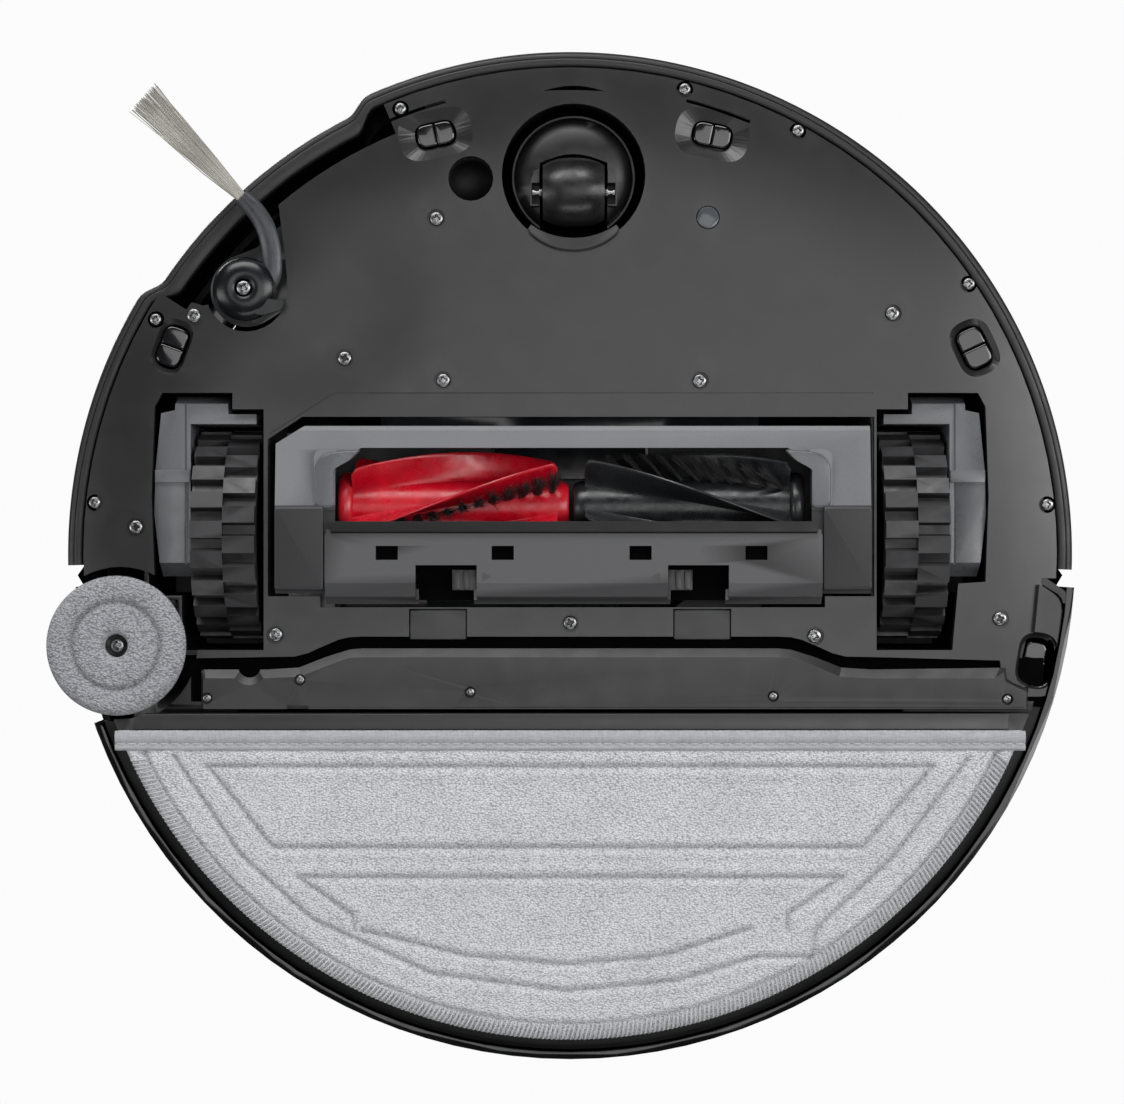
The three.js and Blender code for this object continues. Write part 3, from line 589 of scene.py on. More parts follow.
def floor():
    """A pale floor that is seen from above and is clear from below, where the camera is."""
    material = bpy.data.materials.new("floor_pale")
    material.use_nodes = True
    tree = material.node_tree
    solid = tree.nodes["Principled BSDF"]
    solid.inputs["Base Color"].default_value = (0.78, 0.78, 0.77, 1)
    solid.inputs["Roughness"].default_value = 0.85
    clear, mix = tree.nodes.new("ShaderNodeBsdfTransparent"), tree.nodes.new("ShaderNodeMixShader")
    side = tree.nodes.new("ShaderNodeNewGeometry")
    tree.links.new(side.outputs["Backfacing"], mix.inputs["Fac"])
    tree.links.new(solid.outputs["BSDF"], mix.inputs[1])
    tree.links.new(clear.outputs["BSDF"], mix.inputs[2])
    tree.links.new(mix.outputs["Shader"], tree.nodes["Material Output"].inputs["Surface"])
    reach = 3.0
    mesh = bpy.data.meshes.new("floor")
    corners = [(-reach, -reach, 0), (reach, -reach, 0), (reach, reach, 0), (-reach, reach, 0)]
    mesh.from_pydata(corners, [], [(0, 1, 2, 3)])
    mesh.materials.append(material)
    made = bpy.data.objects.new("floor", mesh)
    bpy.context.scene.collection.objects.link(made)
    for ray in ("shadow", "diffuse", "glossy", "transmission"):
        setattr(made, "visible_" + ray, False)


# ---------------------------------------------------------------- screws

def screw_head(x, y, z, r):
    """(vertices, faces) of a domed cross-recessed head that faces down, its face at z."""
    arm, width, depth = r * 0.6, r * 0.17, r * 0.6
    inner = width * 1.5
    corners = [(arm, width), (inner, inner), (width, arm), (-width, arm), (-inner, inner), (-arm, width),
               (-arm, -width), (-inner, -inner), (-width, -arm), (width, -arm), (inner, -inner), (arm, -width)]
    cross = []
    for here, there in zip(corners, corners[1:] + corners[:1]):
        cross += [here, ((here[0] + there[0]) / 2, (here[1] + there[1]) / 2)]
    turn = 0.35 * math.sin(x * 1.7 + y)

    def place(px, py, height):
        return (x + px * math.cos(turn) - py * math.sin(turn), y + px * math.sin(turn) + py * math.cos(turn),
            z + height)

    rings = [[place(0.5 * px, 0.5 * py, depth) for px, py in cross], [place(px, py, 0) for px, py in cross]]
    for share, height in ((0.78, 0.02), (0.9, 0.1), (1, 0.32), (1, 1.3)):
        rings.append([place(*polar(r * share, math.atan2(py, px)), r * height) for px, py in cross])
    return loft(rings)


SEAM_R = 160.9
BLANK_TOP = 16.2      # top of the disc that gives the plate its lower face
PLATE_SHARP = 12      # degrees; the walls of the shallow pockets have to stay sharp
CLOSED_POCKETS = 3    # of CLIFF; the others leave open edges, so they are cut last
RIM_SCREWS = [(-58.7, -154.1), (39.7, -160.9), (78.9, -146.5), (138.0, -93.5), (165.2, -17.1), (-143.4, -81.2),
              (-164.5, -17.8)]
PLATE_SCREWS = [(-46.2, -115.9), (-130, -82.4), (-77.9, -67.6), (-43.8, -60), (44.8, -59.8), (111.4, -83.1),
                (-150, -9.3), (148.6, 22.4), (-101.7, 27.9), (0, 23.8), (84.5, 28.3)]
STRIP_EDGE = [(-107, 35.6), (-95.2, 35.4), (-90.5, 34.2), (-86.6, 32.4), (-80, 29.6), (-76.2, 28.7), (-72, 28.5)]
REAR_SCREWS = [(29.3, 36.2), (-93.1, 43.4), (-125.2, 49.7), (-34.4, 47.6), (70, 49), (150.7, 50)]


def fixed_screws():
    parts = [screw_head(x, y, 11.4, 2.05) for x, y in RIM_SCREWS]
    parts += [screw_head(x, y, UNDERSIDE + 0.35, 2.5) for x, y in PLATE_SCREWS]
    parts += [screw_head(x, y, 8.9, 1.55) for x, y in REAR_SCREWS]
    made = merged("fixed_screws", parts, "screw", "base", "screw_steel", 40)
    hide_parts(*[f"chassis_screw_{i}" for i in range(1, 7)])


# ---------------------------------------------------------------- underside plate

def smoothstep(t):
    t = min(max(t, 0), 1)
    return t * t * (3 - 2 * t)


def underside(x, y):
    """Height of the plate's visible face: flat, with a soft shoulder to the rim and a dip by the side brush."""
    r = math.hypot(x, y)
    z = UNDERSIDE
    if r > 128:
        z += 2.3 * ((r - 128) / 35) ** 2
    near = math.hypot((x + 96) / 1.25, y + 88)
    z += 0.95 * (1 - smoothstep((near - 18) / 26))
    return z


def plate_blank():
    """(vertices, faces) of a disc whose lower face follows underside()."""
    radii = [4, 12, 22, 34, 46, 58, 70, 80, 88, 96, 104, 112, 120, 127, 133, 139, 145, 150, 155, 159, 163, 166, 168.6]
    sides = 180
    lower = []
    for r in radii:
        lower.append([])
        for i in range(sides):
            x, y = polar(r, TURN * i / sides)
            lower[-1].append((x, y, underside(x, y)))
    upper = [[(x, y, BLANK_TOP) for x, y, _ in ring] for ring in (lower[0], lower[-1])]
    return loft([*lower, upper[1], upper[0]])


def plate_prism():
    """The plate's outline and openings, taken from the CAD node's lower faces, as a tall prism mesh."""
    made = bmesh.new()
    made.from_mesh(NODES["base_chassis"].data)
    bmesh.ops.remove_doubles(made, verts=made.verts, dist=2e-6)
    made.normal_update()
    away = [f for f in made.faces if f.normal.z > -0.3 or f.calc_center_median().z > 12.45 * MM]
    bmesh.ops.delete(made, geom=away, context="FACES")
    for v in made.verts:
        v.co.z = 9 * MM
    bmesh.ops.remove_doubles(made, verts=made.verts, dist=2e-6)
    bmesh.ops.dissolve_limit(made, angle_limit=0.01, verts=made.verts, edges=made.edges)
    raised = bmesh.ops.extrude_face_region(made, geom=made.faces[:], use_keep_orig=True)
    top = [g for g in raised["geom"] if isinstance(g, bmesh.types.BMVert)]
    bmesh.ops.translate(made, verts=top, vec=(0, 0, 5.2 * MM))
    bmesh.ops.triangulate(made, faces=made.faces)
    bmesh.ops.recalc_face_normals(made, faces=made.faces)
    mesh = bpy.data.meshes.new("plate")
    made.to_mesh(mesh)
    made.free()
    return mesh


def groove(path, width, depth, z=UNDERSIDE):
    """(vertices, faces) of a cutter for a shallow groove along path, with mitred corners."""
    points = [Vector(p) for p in path]
    left, right = [], []
    for i, p in enumerate(points):
        before = (p - points[i - 1]).normalized() if i else (points[1] - p).normalized()
        after = (points[i + 1] - p).normalized() if i < len(points) - 1 else before
        across = Vector((-(before + after).y, (before + after).x)).normalized()
        reach = width / 2 / max(across.dot(Vector((-before.y, before.x))), 0.3)
        left.append(p + across * reach)
        right.append(p - across * reach)
    return slab([*right, *left[::-1]], z - 3, z + depth)


CLIFF = {
    "front_left": (-46.6, -145.3, 13, 7.6, -12, 26, 17),
    "front_right": (49.2, -145, 13, 7.6, 12, 26, 17),
    "left": (-137.8, -71.8, 8.4, 14, 20, 12, 19.5),
    "right": (140, -71.4, 9, 14, -25, 15, 20),
    "rear": (161, 36.8, 7.4, 13, 9, 13, 19),
}


def cliff_pocket(x, y, width, depth, turn, wide, deep):
    low = underside(x, y)
    outer = pill(wide, deep, turn, (x, y))
    inner = pill(width + 1.4, depth + 1.4, turn, (x, y))
    out = [(x + (px - x) * 1.04, y + (py - y) * 1.04, low - 3) for px, py in outer]
    edge = [(px, py, underside(px, py) - 0.03) for px, py in outer]
    return loft([out, edge, [(px, py, low + 2.3) for px, py in inner], [(px, py, 20) for px, py in inner]])


def cliff_windows():
    """Each sensor window is two smooth lenses in one dark frame."""
    parts = []
    for x, y, width, depth, turn, *_ in CLIFF.values():
        a = math.radians(turn)
        across = width > depth
        low = underside(x, y) + 1.1
        for side in (-1, 1):
            shift = max(width, depth) / 4 * side
            move = (shift, 0) if across else (0, shift)
            cx, cy = x + move[0] * math.cos(a) - move[1] * math.sin(a), y + move[0] * math.sin(a) + move[1] * math.cos(a)
            size = (width / 2 - 0.3, depth) if across else (width, depth / 2 - 0.3)
            rings = []
            for share, height in ((0.8, 0.0), (0.93, 0.05), (0.985, 0.25), (1.0, 0.6), (1.0, 2.6)):
                outline = rounded_half(size, side, across, share)
                rings.append([(cx + u * math.cos(a) - v * math.sin(a), cy + u * math.sin(a) + v * math.cos(a),
                               low + height) for u, v in outline])
            parts.append(loft(rings))
    made = merged("cliff_windows", parts, "window", "base", "window_plastic", 50)
    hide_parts(*[f"cliff_window_{name}" for name in CLIFF])


def rounded_half(size, side, across, share, steps=6):
    """Half a pill: round on its outer side, nearly square on the side by the split."""
    w, d = size[0] / 2 * share, size[1] / 2 * share
    big, small = min(size) * 0.48 * share, min(size) * 0.1 * share
    out = []
    for u, v in ((-w, -d), (w, -d), (w, d), (-w, d)):
        outer = (u * side > 0) if across else (v * side > 0)
        reach = big if outer else small
        before, after = {(-1, -1): ((0, 1), (1, 0)), (1, -1): ((-1, 0), (0, 1)), (1, 1): ((0, -1), (-1, 0)),
                         (-1, 1): ((1, 0), (0, -1))}[(1 if u > 0 else -1, 1 if v > 0 else -1)]
        for k in range(steps + 1):
            t = k / steps
            p = Vector((u + before[0] * reach, v + before[1] * reach))
            q = Vector((u + after[0] * reach, v + after[1] * reach))
            c = Vector((u, v))
            out.append(tuple((1 - t) ** 2 * p + 2 * t * (1 - t) * c + t ** 2 * q))
    return out


def chassis():
    mesh = plate_prism()
    made = bpy.data.objects.new("chassis_plate", mesh)
    bpy.context.scene.collection.objects.link(made)
    carve(made, [plate_blank()], "INTERSECT", overlapping=True)
    pockets = [cliff_pocket(*row) for row in CLIFF.values()]
    for pocket in pockets[:CLOSED_POCKETS]:
        carve(made, [pocket], overlapping=True)
    cuts = [bore(x, y, 2.9, 9.5, 15.5) for x, y in RIM_SCREWS]
    cuts += [bore(x, y, 3.1, 8.4, 11.6) for x, y in PLATE_SCREWS]
    cuts.append(groove([(104.5, -55.5), (-81.4, -55.5), (-103.8, -41.4)], 0.55, 0.5))
    carve(made, cuts)
    edge = STRIP_EDGE + [(-x, y) for x, y in reversed(STRIP_EDGE)]
    channel = [(-131, 36), *edge, (148.6, 36.8), (149.2, 41), (150.6, 45), (153.5, 48), (158, 49.3), (163,
        49.3), (163, 51),
               (-131, 51)]
    tabs = [slab([(x0, 18.9), (x0 + 20, 18.9), (x0 + 20, 30), (x0, 30)], 5, 20) for x0 in (-55.6, 35.6)]
    carve(made, [slab(channel, 5, 20)])
    carve(made, tabs)
    # This cutter ends at z 11, under the plate's face here, so it takes nothing away: the seam line is missing.
    carve(made, [groove([polar(SEAM_R, math.radians(a)) for a in range(258, 352, 3)], 0.32, 1.0)])
    crescent = [polar(160.5, math.radians(266.6 + 7.8 * k / 16)) for k in range(17)]
    crescent += [polar(160.5 + 1.6 * math.sin(math.pi * k / 16),
        math.radians(274.4 - 7.8 * k / 16)) for k in range(1, 16)]
    carve(made, [arc_slot(161.9, 163.1, 247.4, 254.6, 8, 20), arc_slot(161.4, 162.7, 284.4, 292.6, 8, 20),
                 slab(crescent, 5, 20)])
    # A cut after an open edge can empty the plate.
    for pocket in pockets[CLOSED_POCKETS:]:
        carve(made, [pocket], overlapping=True)
    upper = NODES["base_chassis"].data.copy()
    rest = bpy.data.objects.new("chassis_rest", upper)
    bpy.context.scene.collection.objects.link(rest)
    tidy_normals(upper)
    carve(rest, [slab([(-190, -190), (190, -190), (190, 51.9), (-190, 51.9)], 0, 12.6)])
    settle(rest, "inner", "base", 30)
    # Painted shade: a black sheet behind the rear channel and tab openings, and black blocks in the gaps at the
    # bumper's ends. The last piece is the caster skirt, a real part.
    shade_sheets_and_skirt = [slab([(-103, 27), (103, 27), (103, 36), (164, 36), (164, 53), (-134, 53), (-134, 36.5), (-103,
        36.5)], 13.4, 14)]
    for side in (-1, 1):
        block = [(side * px, py) for px, py in ((163.2, -5), (168.7, -5), (168.7, 3), (171.8, 7.4), (169.4,
            11.4), (163.2, 8))]
        shade_sheets_and_skirt.append(slab(block[::side], 19.6, 76))
    skirt = [polar(24.0 + 2.0 * math.sin(math.pi * k / 24) ** 0.4, math.radians(50 + 80 * k / 24)) for k in range(25)]
    inner = [polar(22.0 + 0.8 * (1 - math.sin(math.pi * k / 24)), math.radians(130 - 80 * k / 24)) for k in range(25)]
    hub_x, hub_y = CASTER_SWIVEL.x, CASTER_SWIVEL.y
    shade_sheets_and_skirt.append(loft([[(hub_x + x, hub_y + y, 8.7) for x, y in (skirt + inner)],
                        [(hub_x + x * 1.03, hub_y + y * 1.03, 9.5) for x, y in (skirt + inner)],
                        [(hub_x + x * 1.03, hub_y + y * 1.03, 13) for x, y in (skirt + inner)]]))
    merged("chassis_shade_sheets", shade_sheets_and_skirt[:-1], "shade_fill", "base", "chassis_plastic", 30)
    merged("caster_skirt", shade_sheets_and_skirt[-1:], "dark", "base", "chassis_plastic", 20)
    flank = [(162, 10.6), (163, 11), (165.1, 12.3), (167.2, 13.7), (168.8, 15.2), (169.6, 16.8), (169.9, 18.6)]
    flank += [polar(171.2, math.radians(6.6 + 10 * k / 12)) for k in range(13)] + [(162.4, 49.2), (157.6,
        49.2), (160, 30)]
    body = bpy.data.objects.new("chassis_flank", bpy.data.meshes.new("chassis_flank"))
    verts, faces = loft([[(162 + (px - 162) * 0.94, py, 9.98) for px, py in flank], [(px, py, 10.5) for px,
        py in flank],
                         [(px, py, 13.6) for px, py in flank]])
    body.data.from_pydata([Vector(v) * MM for v in verts], [], faces)
    bpy.context.scene.collection.objects.link(body)
    tidy_normals(body.data)
    carve(body, [cliff_pocket(*CLIFF["rear"])])
    settle(body, "chassis", "base", PLATE_SHARP)
    rib = [(163.3, 8.3), (164.4, 8.1), (170.9, 12.5), (172.4, 14.5), (172.2, 17), (170.6, 17), (170.2, 15.4),
        (168.8, 13.9),
           (163.3, 10.4)]
    merged("shell_corner_rib", [slab(rib, 12.2, 76)], "bumper", "base", "shell_plastic", 30)
    tab_parts = []
    for x0 in (-55.25, 35.95):
        outline = rounded([(x0, 19.3), (x0 + 19.3, 19.3), (x0 + 19.3, 29.5), (x0, 29.5)], 0.5, 3)
        tab_parts.append(loft([[(x + 0.25 * (1 if x < x0 + 9 else -1), y + 0.25 * (1 if y < 24 else -1), 10.05)
                                for x, y in outline], [(x, y, 10.3) for x, y in outline], [(x, y, 13) for x,
                                y in outline]]))
    merged("chassis_tabs", tab_parts, "chassis_rear", "base", "chassis_plastic", 30)
    settle(made, "chassis", "base", PLATE_SHARP)
    smooth_underside(made.data)
    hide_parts("base_chassis")


def smooth_underside(mesh):
    """Sets the normals of the plate's visible face from underside(), so that no facet shows in its gloss."""
    normals = [(0, 0, 0)] * len(mesh.loops)
    step = 0.5
    for face in mesh.polygons:
        if face.normal.z > -0.96 or not 9.9 < face.center.z / MM < 13.2:
            continue
        for i in face.loop_indices:
            x, y, _ = mesh.vertices[mesh.loops[i].vertex_index].co / MM
            slope_x = (underside(x + step, y) - underside(x - step, y)) / (2 * step)
            slope_y = (underside(x, y + step) - underside(x, y - step)) / (2 * step)
            normals[i] = Vector((slope_x, slope_y, -1)).normalized()
    mesh.normals_split_custom_set(normals)


DRIVE_OUTER = [(-127.4, 53.4), (-127.4, 40.4), (-126.4, 39.9), (-104.5, 39.9), (-93.6, 39.2), (-84.5, 35.6),
    (-76.2, 33.0),
               (-72, 32.6)]
DRIVE_FACE = [(-126.4, 53.4), (-126.4, 43.6), (-125.6, 42.8), (-104.4, 42.8), (-92.8, 42.2), (-84.2, 38.6),
    (-76, 35.8),
              (-71.6, 35.5)]
DRIVE_OUTER_RIGHT = [(104.5, 39.9), (148.4, 39.3), (150.4, 39.3), (151, 43.2), (153.3, 44.6), (158, 46.6),
    (158, 53.4)]
DRIVE_FACE_RIGHT = [(104.4, 42.8), (146.5, 42.8), (149.4, 40.4), (150, 43.9), (152.9, 45.4), (157.2, 47.4),
    (157.2, 53.4)]


def mop_drive_cover():
    outer = DRIVE_OUTER + [(-x, y) for x, y in DRIVE_OUTER[:3:-1]] + DRIVE_OUTER_RIGHT
    face = DRIVE_FACE + [(-x, y) for x, y in DRIVE_FACE[:3:-1]] + DRIVE_FACE_RIGHT
    top = [(x, y, 11.2) for x, y in outer]
    verts, faces = loft([[(x, y, 8.2) for x, y in face], [(x, y, 8.35) for x, y in swept(face, outer, 0.08)],
                         [(x, y, 10.4) for x, y in outer], top])
    mesh = bpy.data.meshes.new("mop_drive_plate")
    mesh.from_pydata([Vector(v) * MM for v in verts], [], faces)
    made = bpy.data.objects.new("mop_drive_plate", mesh)
    bpy.context.scene.collection.objects.link(made)
    tidy_normals(mesh)
    cuts = [bore(x, y, 2.0, 5, 10.6) for x, y in REAR_SCREWS if y > 43]
    cuts.append(loft([[(-110.7 + u, 38.8 + v, z) for u, v in (polar(r, TURN * i / 32) for i in range(32))]
                      for r, z in ((6.6, 8.0), (3.9, 9.9), (3.9, 13))]))
    cuts.append(slab([(-97.6, 52.2), (-90.2, 52.2), (-90.2, 54), (-97.6, 54)], 5, 9.6))
    cuts.append(slab([(-40, 52.6), (156, 52.6), (156, 52.95), (-40, 52.95)], 5, 8.6))
    carve(made, cuts)
    settle(made, "chassis_rear", "base", 10)
    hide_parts("mop_drive_cover")


def swept(inner, outer, share):
    return [(a[0] + (b[0] - a[0]) * share, a[1] + (b[1] - a[1]) * share) for a, b in zip(inner, outer)]


# ---------------------------------------------------------------- bumper

RECESS = (212.4, 244.6)
BUMPER_ENDS = (178.7, 361.8)


def recess_depth(angle, ease=1.7):
    """0 on the round part, 1 in the side brush's recess."""
    into = smoothstep((angle - RECESS[0] + ease) / (2 * ease))
    out_of = smoothstep((angle - RECESS[1] + ease) / (2 * ease))
    return into - out_of


def bumper():
    low, high = BUMPER_LOW, BUMPER_HIGH
    rings = []
    steps = 300
    for i in range(steps + 1):
        angle = BUMPER_ENDS[0] + (BUMPER_ENDS[1] - BUMPER_ENDS[0]) * i / steps
        deep = recess_depth(angle)
        outer = BODY_R - 4.3 * deep
        lip = 169.4 + (163.1 - 169.4) * deep
        profile = [(lip, low + 1.0), (lip + 0.4, low + 0.3), (lip + 1, low), (outer - 3.0, low),
            (outer - 2.75, low + 0.12),
                   (outer - 2.7, low + 0.7), (outer - 2.35, low + 0.7), (outer - 2.3, low + 0.05),
                   (outer - 1.9, low - 0.0),
                   (outer - 1.1, low + 0.25), (outer - 0.45, low + 0.9), (outer - 0.08, low + 1.9), (outer,
                   low + 3.2),
                   (outer, high - 2.2), (outer - 0.12, high - 1.1), (outer - 0.5, high - 0.35), (outer - 1.1, high),
                   (outer - 2.3, high), (outer - 2.3, low + 2.6), (lip, low + 2.6)]
        rings.append([(*polar(r, math.radians(angle)), z) for r, z in profile])
    made = show("bumper_shell", *loft(rings), "bumper", "bumper", "dark_plastic", 30)
    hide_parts("bumper")


# ---------------------------------------------------------------- rollers

FIN_START, FIN_LENGTH, FIN_REACH, CORE = 5.0, 71.0, 19.3, 9.5


def roller(name, look, body, slot, side, phase, twist, tufts):
    """A driven end ring, a smooth core and five helical fins with rounded tips. side -1 lies at -X."""
    low, high = low_high(name)
    driven, inner = (low.x, high.x) if side < 0 else (high.x, low.x)
    ahead = -side

    def place(along, r, a):
        u, v = polar(r, a)
        return (driven + ahead * along, ROLLER_AXIS.y + u, ROLLER_AXIS.z + v)

    length = abs(inner - driven)
    rings = []
    for along, r in [(0, 8), (0, 10.6), (0.4, 11.5), (1.3, 12.1), (2.6, 12.3), (3.9, 12.1), (4.8, 11.5), (5.15, 10.6),
                     (5.2, CORE), (24, CORE), (44, CORE), (64, CORE), (length - 4.6, CORE), (length - 3.2, 9.35),
                     (length - 1.6, 8.9), (length - 0.4, 8.3), (length, 7.6)]:
        rings.append([place(along, r, TURN * i / 56) for i in range(56)])
    parts = [loft(rings)]
    for fin in range(5):
        rings = []
        for k in range(61):
            along = FIN_START + FIN_LENGTH * k / 60
            ends = min(along - FIN_START, FIN_START + FIN_LENGTH - along)
            round_off = 2.2 * (1 - math.sqrt(max(0, 1 - (1 - min(ends, 2.2) / 2.2) ** 2)))
            reach = FIN_REACH - round_off
            middle = math.radians(phase + 72 * fin + twist * (along - FIN_START))
            ring = []
            for r, half in ((CORE - 0.6, 1.9), (CORE + 0.3, 1.25), (CORE + 1.4, 0.9), (CORE + 4, 0.72),
                (reach - 1.2, 0.6),
                            (reach - 0.35, 0.5), (reach, 0.2)):
                ring.append((r, half))
            outline = [(r, h) for r, h in ring] + [(r, -h) for r, h in reversed(ring)]
            rings.append([place(along, r, middle + h / r) for r, h in outline])
        parts.append(loft(rings))
    made = merged(name + "_body", parts, look, body, slot, 40)
    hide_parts(name)
    rng = random.Random(7 if side < 0 else 11)
    hairs = []
    for along, angle, lean, count, spread in tufts:
        for _ in range(count):
            base = along + rng.gauss(0, 0.4 * spread)
            a = math.radians(angle + rng.gauss(0, 2.2))
            tip = 18.4 + rng.uniform(-0.9, 0.6)
            lean_out, fan = lean + rng.gauss(0, spread), math.radians(rng.gauss(0, 2.6 * spread))
            points = [place(base + lean_out * t, CORE - 0.4 + (tip - CORE + 0.4) * t,
                a + fan * t) for t in (0, 0.5, 1)]
            hairs.append(tube(points, [0.13, 0.12, 0.08], sides=4))
    merged(name + "_bristles", hairs, "dark_bristle", body, "nylon", 0)


def rollers():
    red, grey = [], []
    for k in range(14):
        along = FIN_START + 1.5 + k * 5.2
        for fin in (72, 288):
            red.append((along, 12.9 + fin + 15 - 1.17 * (along - FIN_START), 1.2, 60, 1.3))
    for k in range(12):
        along = FIN_START + 2 + k * 5.85
        for fin in (72, 216):
            grey.append((along, 2.2 + fin + 12 - 1.13 * (along - FIN_START), 8.5 if along < 60 else 2, 34, 0.7))
    roller("red_roller", "red", "red_roller", "red_rubber", -1, 12.9, -1.17, red)
    roller("grey_roller", "grey", "grey_roller", "grey_rubber", 1, 2.2, -1.13, grey)


# ---------------------------------------------------------------- caster

def caster():
    """A smooth dome in a thin rim, open round the wheel, with a pocket for each end of the axle."""
    x, y = CASTER_SWIVEL.x, CASTER_SWIVEL.y
    profile = [(0, 13.0), (6, 13.1), (11, 13.5), (15, 14.3), (17.6, 15.4), (19.4, 16.9), (20.3, 18.2), (20.5, 17.2),
               (20.7, 16.9), (21.3, 16.9), (21.5, 17.2), (21.5, 24), (0, 24)]
    made = bpy.data.objects.new("caster_pod_dome", bpy.data.meshes.new("caster_pod_dome"))
    rings = []
    for r, z in profile[1:-1]:
        rings.append([(x + u, y + v, z) for u, v in (polar(r, TURN * i / 80) for i in range(80))])
    verts, faces = loft(rings)
    made.data.from_pydata([Vector(v) * MM for v in verts], [], faces)
    bpy.context.scene.collection.objects.link(made)
    tidy_normals(made.data)
    half = 11.75
    window = [(x - half, y + 19.6), (x - half, y - 4.6)]
    window += [(x - half + 2 * half * k / 12, y - 4.6 - 3.0 * math.sin(math.pi * k / 12)) for k in range(1, 12)]
    window += [(x + half, y - 4.6), (x + half, y + 19.6)]
    window += [(x + half - 2 * half * k / 10, y + 19.6 + 2.2 * math.sin(math.pi * k / 10)) for k in range(1, 10)]
    carve(made, [slab(window, 5, 30)])
    bosses, pockets = [], []
    for side in (-1, 1):
        edge = x + side * half
        out = edge + side * 3.2
        arch = [(edge + side * 0.1, y - 2.2), (edge + side * 2.0, y - 1.5), (out - side * 0.3, y + 1.2), (out,
            y + 3.2),
                (out, y + 10.6), (edge + side * 0.1, y + 10.6)]
        bosses.append(loft([[(px, py, 11.4) for px, py in arch], [(px, py, 15.8) for px, py in arch]]))
        pocket = [(edge - side * 2, y + 2.6), (out - side * 0.45, y + 2.6), (out - side * 0.45, y + 10.1),
            (edge - side * 2, y + 10.1)]
        pockets.append(slab(pocket[::side], 5, 19))
    carve(made, bosses, "UNION")
    carve(made, pockets)
    settle(made, "dark", "caster", 28)
    soften(made, 0.25, 2, 30)
    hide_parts("caster_pod")
    pins = []
    for side in (-1, 1):
        start = x + side * 10.7
        rings = []
        for along, r in ((0, 1.3), (0.5, 1.5), (1.2, 1.5), (1.25, 0.75), (2.9, 0.75), (3.0, 1.1), (3.5, 1.1)):
            rings.append([(start + side * along, CASTER_AXLE.y + u, CASTER_AXLE.z + v)
                          for u, v in (polar(r, TURN * i / 20) for i in range(20))])
        pins.append(loft(rings))
    made = merged("caster_pins", pins, "screw", "caster", "screw_steel", 40)
    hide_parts("caster_axle")
    merged("caster_well_shade", [slab([(x + u, y + v) for u, v in (polar(24.4,
        TURN * i / 60) for i in range(60))], 26, 27)],
           "shade_fill", "base", "chassis_plastic", 30)
    profile = []
    half_width, radius = 10.6, 12.0
    for k in range(13):
        t = -1 + 2 * k / 12
        profile.append((radius - 2.6 * abs(t) ** 2.6, t * half_width))
    rings = [[(x + h, CASTER_AXLE.y + u, CASTER_AXLE.z + v) for u, v in (polar(r, TURN * i / 64) for i in range(64))]
             for r, h in [(2, -half_width), (8.2, -half_width), *profile, (8.2, half_width), (2, half_width)]]
    made = merged("caster_wheel_tread", [loft(rings)], "caster_rubber", "caster_wheel", "tyre_rubber", 50)
    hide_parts("caster_wheel")


# ---------------------------------------------------------------- side brush

